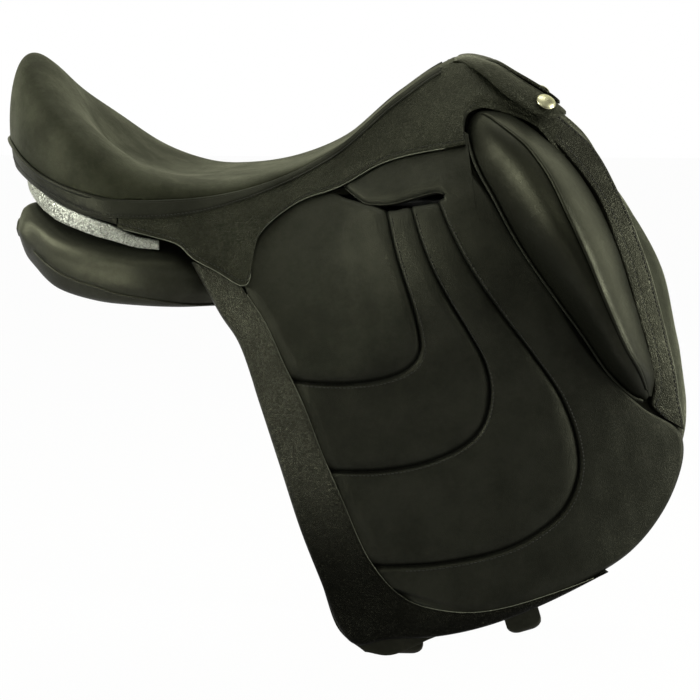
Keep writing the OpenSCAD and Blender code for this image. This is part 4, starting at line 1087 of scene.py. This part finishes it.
def lip_piece():
    u = steps(LIP_STEPS)
    a, b = smooth(LIP_LOW, u), smooth(LIP_HIGH, u)
    a[:, 0] = np.minimum(a[:, 0], np.interp(a[:, 1], *LIP_END_LOW) - 1.0)
    b[:, 0] = np.minimum(b[:, 0], np.interp(b[:, 1], *LIP_END_HIGH) - 0.6)
    rows, _, d, _ = strip_rows(a, b, [0, 0.4, 1.0, 1.8, 2.8, 4.0, 5.5], 22)
    free = ramp(0.86, 0.76, u)[:, None]
    top = 0.4 + 0.9 * bell(d - 8, 6) * free - (LIP_T - 0.6) * roll(d, 4.5) * free
    top = top * free + (0.3 - 1.9 * ramp(11, 0, d)) * (1 - free)
    low = np.minimum(top - 0.15, -LIP_T * free - 0.5 * (1 - free))
    pair("bar_lip", side_sheet(rows, top, low), SMOOTH, "smooth_leather", "bar_cover", bevel=0.3)
    pair("lip_rim", tube(on_side(a[:LIP_RIM], -1.6), 0.7, 8), SMOOTH, "smooth_leather")


# the knee block

BLOCK_REAR = [[212, 161], [209, 150], [212, 134], [219, 117], [232, 95], [247, 68], [263, 43], [284, 14],
              [306, -16], [327, -47], [347, -68], [361, -75]]
BLOCK_RIDGE = [[217, 165], [226, 164], [237, 158], [249, 150], [262, 139], [279, 116], [295, 84], [311, 50],
               [326, 14], [342, -22], [355, -46], [364, -70]]
BLOCK_FRONT = [[222, 167], [234, 166], [247, 163], [259, 156], [275, 144], [296, 125], [317, 96], [336, 56],
               [351, 10], [363, -30], [369, -54], [367, -71]]
BLOCK_SHARE = [0.04, 0.36, 0.6, 0.75, 0.86, 0.96, 1, 0.96, 0.86, 0.64, 0.4, 0.08]
BLOCK_FOOT = -PAD_T + 5
BLOCK_WELT = 0.04, 0.975
BLOCK_PINCH, BLOCK_PINCH_W = 0.9, 0.035
BLOCK_RIM_D, BLOCK_RIM_LEVEL = 2.8, -0.9


def block_at(u, v):
    """x and z on the block: v from its rear edge to the ridge at 1 and the front edge at 2."""
    rear, ridge, front = (smooth(p, u)[:, None] for p in (BLOCK_REAR, BLOCK_RIDGE, BLOCK_FRONT))
    v = v[None, :, None]
    return np.where(v <= 1, rear * (1 - v) + ridge * v, ridge * (2 - v) + front * (v - 1))


def block_points(u, v):
    height = BLOCK_H * smooth(BLOCK_SHARE, u)[:, None]
    rise = np.where(v <= 1, np.sin(np.pi / 2 * v), np.maximum(0, np.cos(np.pi / 2 * (v - 1))) ** 0.8)
    out = on_side(block_at(u, v), BLOCK_FOOT)
    out[..., 1] += height * rise[None]
    return out


def block_pieces():
    u = steps(130)
    v = np.concatenate([section(44), 1 + section(36)[1:]])
    outer = block_points(u, v)
    pinch = BLOCK_PINCH * bell(v - 1, BLOCK_PINCH_W)
    outer[..., 1] -= pinch[None] * (ramp(0.02, 0.1, u) * ramp(1.0, 0.93, u))[:, None]
    inner = on_side(block_at(u, v), -PAD_T)
    pair("block_leather", shell(outer, inner), BLOCK, "smooth_leather", "knee_block", bevel=0.8, fill=0.95)
    first, last = BLOCK_WELT
    w = first + (last - first) * steps(200)
    r = BLOCK_WELT_D / 2
    ridge = block_points(w, np.array([1.0]))[:, 0] + [0, r - 0.6, 0]
    taper = r * (0.5 + 0.5 * ramp(0, 0.06, w - first)) * (0.6 + 0.4 * ramp(last, 0.9, w))
    pair("block_piping", tube(ridge, taper, 10), BLOCK, "smooth_leather", "knee_welt")
    foot = smooth(BLOCK_REAR, 0.12 + 0.86 * steps(200)) + [-0.7, -0.5]
    pair("block_rim", tube(on_side(foot, BLOCK_RIM_LEVEL), BLOCK_RIM_D / 2, 8), SMOOTH, "smooth_leather")


# the panels: each station has x, the inner and the outer y, and the heights of four edges: low inner,
# low outer, top outer, top inner

PANEL_AT = [[-180, 67, 86, 58, 53, 64, 68], [-175.5, 53, 97, 49, 41, 71, 76],
            [-166, 42, 106, 42, 30, 73, 80], [-142, 36, 128, 30, 13, 63, 80],
            [-106, 33, 143, 23, 4, 54, 77], [-70, 32, 149, 20, 1, 48, 74], [-35, 32, 143, 19, -1, 45, 72],
            [0, 32, 126, 20, -2, 34, 72], [35, 32, 118, 24, -4, 34, 75], [70, 32, 113, 30, -6, 35, 80],
            [105, 33, 110, 38, -8, 36, 86], [140, 35, 107, 48, -6, 38, 92], [175, 38, 103, 60, 0, 40, 99],
            [210, 42, 98, 74, 8, 42, 106], [245, 46, 92, 84, 22, 46, 108], [268, 52, 84, 92, 50, 62, 104]]
PANEL_SEAM = [[-162, 43], [-151, 35], [-135, 26], [-118, 20], [-101, 16], [-84, 11], [-67, 8], [-50, 5],
              [-33, 2], [-16, 0], [-3, 0]]
PANEL_POINTS = 132
PANEL_CAP = 2.5
PANEL_FULL_W, PANEL_FULL_H = 40.0, 26.0
PANEL_CAP_TURNS = np.radians([25, 50, 70, 84])
PANEL_OUTER = slice(38, 67)
SEAM_AVERAGE = 9
SEAM_D, SEAM_SEWN = 2.2, 2.6


def panel_ring(s):
    x, a, b, low_in, low_out, top_out, top_in = s
    wide, tall = min(1, (b - a) / PANEL_FULL_W), min(1, (top_in - low_in) / PANEL_FULL_H)
    c = np.array([[a, low_in + 8 * tall], [a + 14 * wide, low_in - 3 * tall],
                  [(a + b) / 2, (low_in + low_out) / 2 - 5 * tall], [b - 16 * wide, low_out - 1],
                  [b - 3 * wide, low_out + 10 * tall], [b, (low_out + top_out) / 2 + 2 * tall],
                  [b - 6 * wide, top_out - 4 * tall],
                  [(a + b) / 2 + 4 * wide, (top_out + top_in) / 2 + 3 * tall], [a + 14 * wide, top_in],
                  [a + 2 * wide, top_in - 10 * tall], [a - wide, (low_in + top_in) / 2]])
    n = len(c)
    t = np.arange(PANEL_POINTS) / PANEL_POINTS * n
    k = np.floor(t).astype(int)
    f = (t - k)[:, None]
    return np.column_stack([np.full(PANEL_POINTS, x), cubic(*(c[(k + j) % n] for j in (-1, 0, 1, 2)), f)])


def panel_pieces():
    rings = np.stack([panel_ring(s) for s in smooth(PANEL_AT, steps(150))])
    caps = []
    for end, reach in ((0, -PANEL_CAP), (-1, PANEL_CAP)):
        core = rings[end].mean(0)
        spoke = rings[end] - core
        caps.append([core + spoke * math.cos(a) + reach * math.sin(a) * FORWARD for a in PANEL_CAP_TURNS])
    grid = np.concatenate([caps[0][::-1], rings, caps[1]])
    index = np.arange(grid.shape[0] * PANEL_POINTS).reshape(-1, PANEL_POINTS)
    faces = [*hoop(index).tolist(), index[0].tolist(), index[-1].tolist()]
    shape = grid.reshape(-1, 3), np.array(faces, object)
    pair("panel_leather", shape, PANEL, "panel_leather", "panel", fill=0.85)
    path, normal = [], []
    for x, z in smooth(PANEL_SEAM, steps(160)):
        side = rings[np.abs(rings[:, 0, 0] - x).argmin(), PANEL_OUTER]
        j = np.abs(side[:, 2] - z).argmin()
        rising = (np.diff(side[:, 2]) > 0).all()
        path.append([x, np.interp(z, side[:, 2], side[:, 1]) if rising else side[j, 1], z])
        t = side[min(j + 1, len(side) - 1)] - side[max(j - 1, 0)]
        normal.append([0, t[2], -t[1]])
    path, normal = np.array(path), unit(np.array(normal))
    near = np.pad(path[:, 1], SEAM_AVERAGE // 2, "edge")
    path[:, 1] = np.convolve(near, np.ones(SEAM_AVERAGE) / SEAM_AVERAGE, "valid")
    pair("panel_seam", tube(path + 0.2 * normal, SEAM_D / 2, 8), PANEL, "panel_leather")
    rows = stitches(path + 0.5 * normal + SEAM_SEWN * UP, normal, *PANEL_SEWING)
    pair("panel_stitches", rows, THREAD, "panel_leather")


# under the flap: sweat flap, girth straps and their web

SWEAT_REAR = [[66, 2], [82, -44], [98, -95], [116, -150], [142, -196]]
SWEAT_FRONT = [[338, 122], [364, 80], [384, 38], [396, -6], [405, -48], [411, -84], [408, -116], [390, -160],
               [330, -206]]
SWEAT_LOW = [[142, -196], [190, -212], [240, -218], [286, -214], [330, -206]]
SWEAT_HIGH = [[66, 2], [130, -4], [200, 14], [270, 76], [338, 122]]
WEB_A = [[146, -58], [145, -25], [142, 8], [137, 42], [132, 76]]
WEB_B = [[206, -58], [198, -25], [188, 8], [178, 42], [168, 76]]
FRONT_TURN = math.radians(17)
STRAP_W, STRAP_ROUND = 30.0, 10.0
GIRTH_WEB_T = 2
WEB_FOOT, WEB_HEAD, WEB_LEAN = 1.6, 2.6, 4.6


def under_pieces():
    grid = patch(SWEAT_REAR, SWEAT_FRONT, SWEAT_LOW, SWEAT_HIGH, steps(70), steps(70))
    sheet = side_sheet(grid, SWEAT_OUT, SWEAT_OUT - SWEAT_T)
    # painted sheen: the sweat flap's leather is lightened to stand for the sheen along it
    pair("sweat_leather_painted_sheen", sheet, SWEAT_PAINTED_SHEEN, "flap_leather", "sweat_flap", bevel=1.0)
    u, v = steps(60), steps(16)
    rows = between(smooth(WEB_A, u), smooth(WEB_B, u), v)
    foot = GIRTH_OUT - GIRTH_T - WEB_FOOT
    t = foot + (POINT_OUT + WEB_HEAD - foot) * ramp(0.2, 1, u)[:, None]
    t = t - WEB_LEAN * v[None] * (1 - u[:, None])
    pair("girth_webbing", side_sheet(rows, t, t - GIRTH_WEB_T), WEBBING, "webbing", "girth_web", bevel=0.4)
    for which, turn in (("rear", 0.0), ("front", FRONT_TURN)):
        for side, _ in SIDES:
            strap_piece(f"girth_strap_{which}_{side}", turn)


def strap_piece(node, turn):
    """A girth strap: the solid's own shape with rounded edges and a softly rounded fold."""
    mesh = frame["nodes"][node].data.copy()
    mesh.materials.clear()
    mesh.materials.append(STRAP)
    obj = new_object(node + "_leather", mesh)
    bm = bmesh.new()
    bm.from_mesh(mesh)
    bmesh.ops.remove_doubles(bm, verts=bm.verts, dist=0.01 * MM)
    down = Vector((math.sin(turn), 0, -math.cos(turn)))
    across = Vector((math.cos(turn), 0, math.sin(turn)))
    reach = max(v.co.dot(down) for v in bm.verts)
    sides = [v.co.dot(across) for v in bm.verts]
    middle = 0.5 * (max(sides) + min(sides))
    for k in np.linspace(-0.47, 0.47, 15):
        cut = bm.verts[:] + bm.edges[:] + bm.faces[:]
        at = across * (middle + float(k) * STRAP_W * MM)
        bmesh.ops.bisect_plane(bm, geom=cut, plane_co=at, plane_no=across)
    for v in bm.verts:
        d = STRAP_W / 2 - abs(v.co.dot(across) - middle) / MM
        near = float(ramp(16, 3, (reach - v.co.dot(down)) / MM))
        v.co -= down * (STRAP_ROUND * 0.7 * float(roll(np.array(d), STRAP_ROUND)) * near * MM)
    bm.to_mesh(mesh)
    bm.free()
    round_edges(obj, 0.9)
    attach(obj, BODY)
    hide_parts(node)


def dress_solids():
    """Materials of the rigid pieces that are shown as they are."""
    looks = {WOOD: ("tree", "tree_head", "tree_point_left", "tree_point_right"), STUD: ("pommel_studs",),
             STEEL_DARKENED_FOR_SHADE: ("head_plate", "gullet_plate", "head_rivets", "spring_steels", "stirrup_bar_left",
                     "stirrup_bar_right", "bar_rivets", "catch_left", "catch_right", "catch_pin_left",
                     "catch_pin_right")}
    for material, names in looks.items():
        for name in names:
            mesh = frame["nodes"][name].data
            mesh.materials.clear()
            mesh.materials.append(material)


# camera, light and floor

PHOTO_TARGET = Vector((0.104, 0.0, -0.058))
PHOTO_EYE = Vector((0.2177, -2.1699, 0.2862))
PHOTO_LENS = 125.2
FLOOR_DROP = 0.06
FLOOR_MIRROR = 0.5
LIGHT_TINT = (0.98, 1.0, 0.86)
SHEEN_TINT = (0.98, 1.0, 0.7)
FLOOR_SIZE = 6.0
LAMP_AIM = (0.1, 0, -0.02)


def look(obj, where, aim):
    obj.location = where
    obj.rotation_mode = "QUATERNION"
    obj.rotation_quaternion = (Vector(aim) - Vector(where)).to_track_quat("-Z", "Y")


def camera():
    data = bpy.data.cameras.new("photo")
    data.lens = PHOTO_LENS
    data.sensor_width = 36.0
    data.clip_end = 50.0
    obj = new_object("photo", data)
    look(obj, PHOTO_EYE, PHOTO_TARGET)
    bpy.context.scene.camera = obj


def lamp(name, where, aim, size, power, cone=180):
    data = bpy.data.lights.new(name, "AREA")
    data.shape = "RECTANGLE"
    data.size, data.size_y = size
    data.energy = power
    data.color = LIGHT_TINT
    data.spread = math.radians(cone)
    look(new_object(name, data), where, aim)


def mix_shader(tree, share, a, b):
    return add(tree, "MixShader", i0=share, i1=a.outputs[0], i2=b.outputs[0])


def seen_by_mirror(tree, ray):
    return math_node(tree, "MAXIMUM", ray["Is Glossy Ray"], ray["Is Transmission Ray"])


def world():
    """White behind the object, softer as a light: bright above and behind, dim on the camera's side."""
    studio_world = bpy.data.worlds.new("studio")
    bpy.context.scene.world = studio_world
    tree, out = empty_tree(studio_world, "World")
    ray = add(tree, "LightPath").outputs
    way = add(tree, "SeparateXYZ", Vector=add(tree, "TexCoord").outputs["Generated"]).outputs
    above = spread(tree, way["Z"], -0.2, 0.9, 0.04, 0.36)
    behind = spread(tree, way["Y"], 0.0, 0.95, 0.0, 0.25)
    white = add(tree, "Background", Color=(1, 1, 1, 1), Strength=1.0)
    room = add(tree, "Background", Color=(*LIGHT_TINT, 1), Strength=math_node(tree, "ADD", above, behind))
    sheen = add(tree, "Background", Color=(*SHEEN_TINT, 1))
    ahead = spread(tree, way["Y"], 0.25, 0.7, 0.0, 1.0)
    lit = mix_shader(tree, math_node(tree, "MULTIPLY", seen_by_mirror(tree, ray), ahead), room, sheen)
    connect(tree, out, Surface=mix_shader(tree, ray["Is Camera Ray"], lit, white).outputs[0])


def floor():
    material = bpy.data.materials.new("floor")
    tree, out = empty_tree(material, "Material")
    ray = add(tree, "LightPath").outputs
    seen = ray["Is Camera Ray"]
    paper = add(tree, "BsdfDiffuse", Color=tint(tree, seen, (0.14, 0.14, 0.135), (0.82, 0.82, 0.8)))
    white = add(tree, "Emission", Color=(1, 1, 1, 1), Strength=1.0)
    mirrored_share = math_node(tree, "MULTIPLY", seen_by_mirror(tree, ray), FLOOR_MIRROR)
    share = math_node(tree, "MAXIMUM", math_node(tree, "MULTIPLY", seen, 0.97), mirrored_share)
    connect(tree, out, Surface=mix_shader(tree, share, paper, white).outputs[0])
    z = cad_box[0].z - FLOOR_DROP
    corners = [(x * FLOOR_SIZE, y * FLOOR_SIZE, z) for x, y in ((-1, -1), (1, -1), (1, 1), (-1, 1))]
    mesh = bpy.data.meshes.new("floor")
    mesh.from_pydata(corners, [], [(0, 1, 2, 3)])
    mesh.materials.append(material)
    obj = new_object("floor", mesh)


def studio():
    bpy.context.scene.view_settings.view_transform = "Standard"
    camera()
    world()
    floor()
    lamp("rear_side", (-1.6, -0.6, 0.75), (-0.04, -0.05, 0.12), size=(0.9, 1.0), power=5.6, cone=75)
    lamp("front_side", (1.8, -0.3, 0.4), LAMP_AIM, size=(0.6, 1.4), power=36)
    lamp("above", (0.2, 0.35, 1.9), LAMP_AIM, size=(1.4, 0.8), power=11)
    lamp("near", (-0.1, -1.3, 1.3), (0.1, -0.1, 0.12), size=(1.3, 0.7), power=0.8, cone=80)
    lamp("low", (-0.8, -1.5, -0.12), (-0.12, -0.12, 0.02), size=(0.5, 0.3), power=0.24, cone=24)


seat_pieces()
seat_welt()
skirt_pieces()
cantle_pieces()
pommel_cover()
pommel_strap()
flap_piece()
pad_pieces()
rear_strip()
front_strip()
lip_piece()
block_pieces()
panel_pieces()
under_pieces()
dress_solids()
studio()
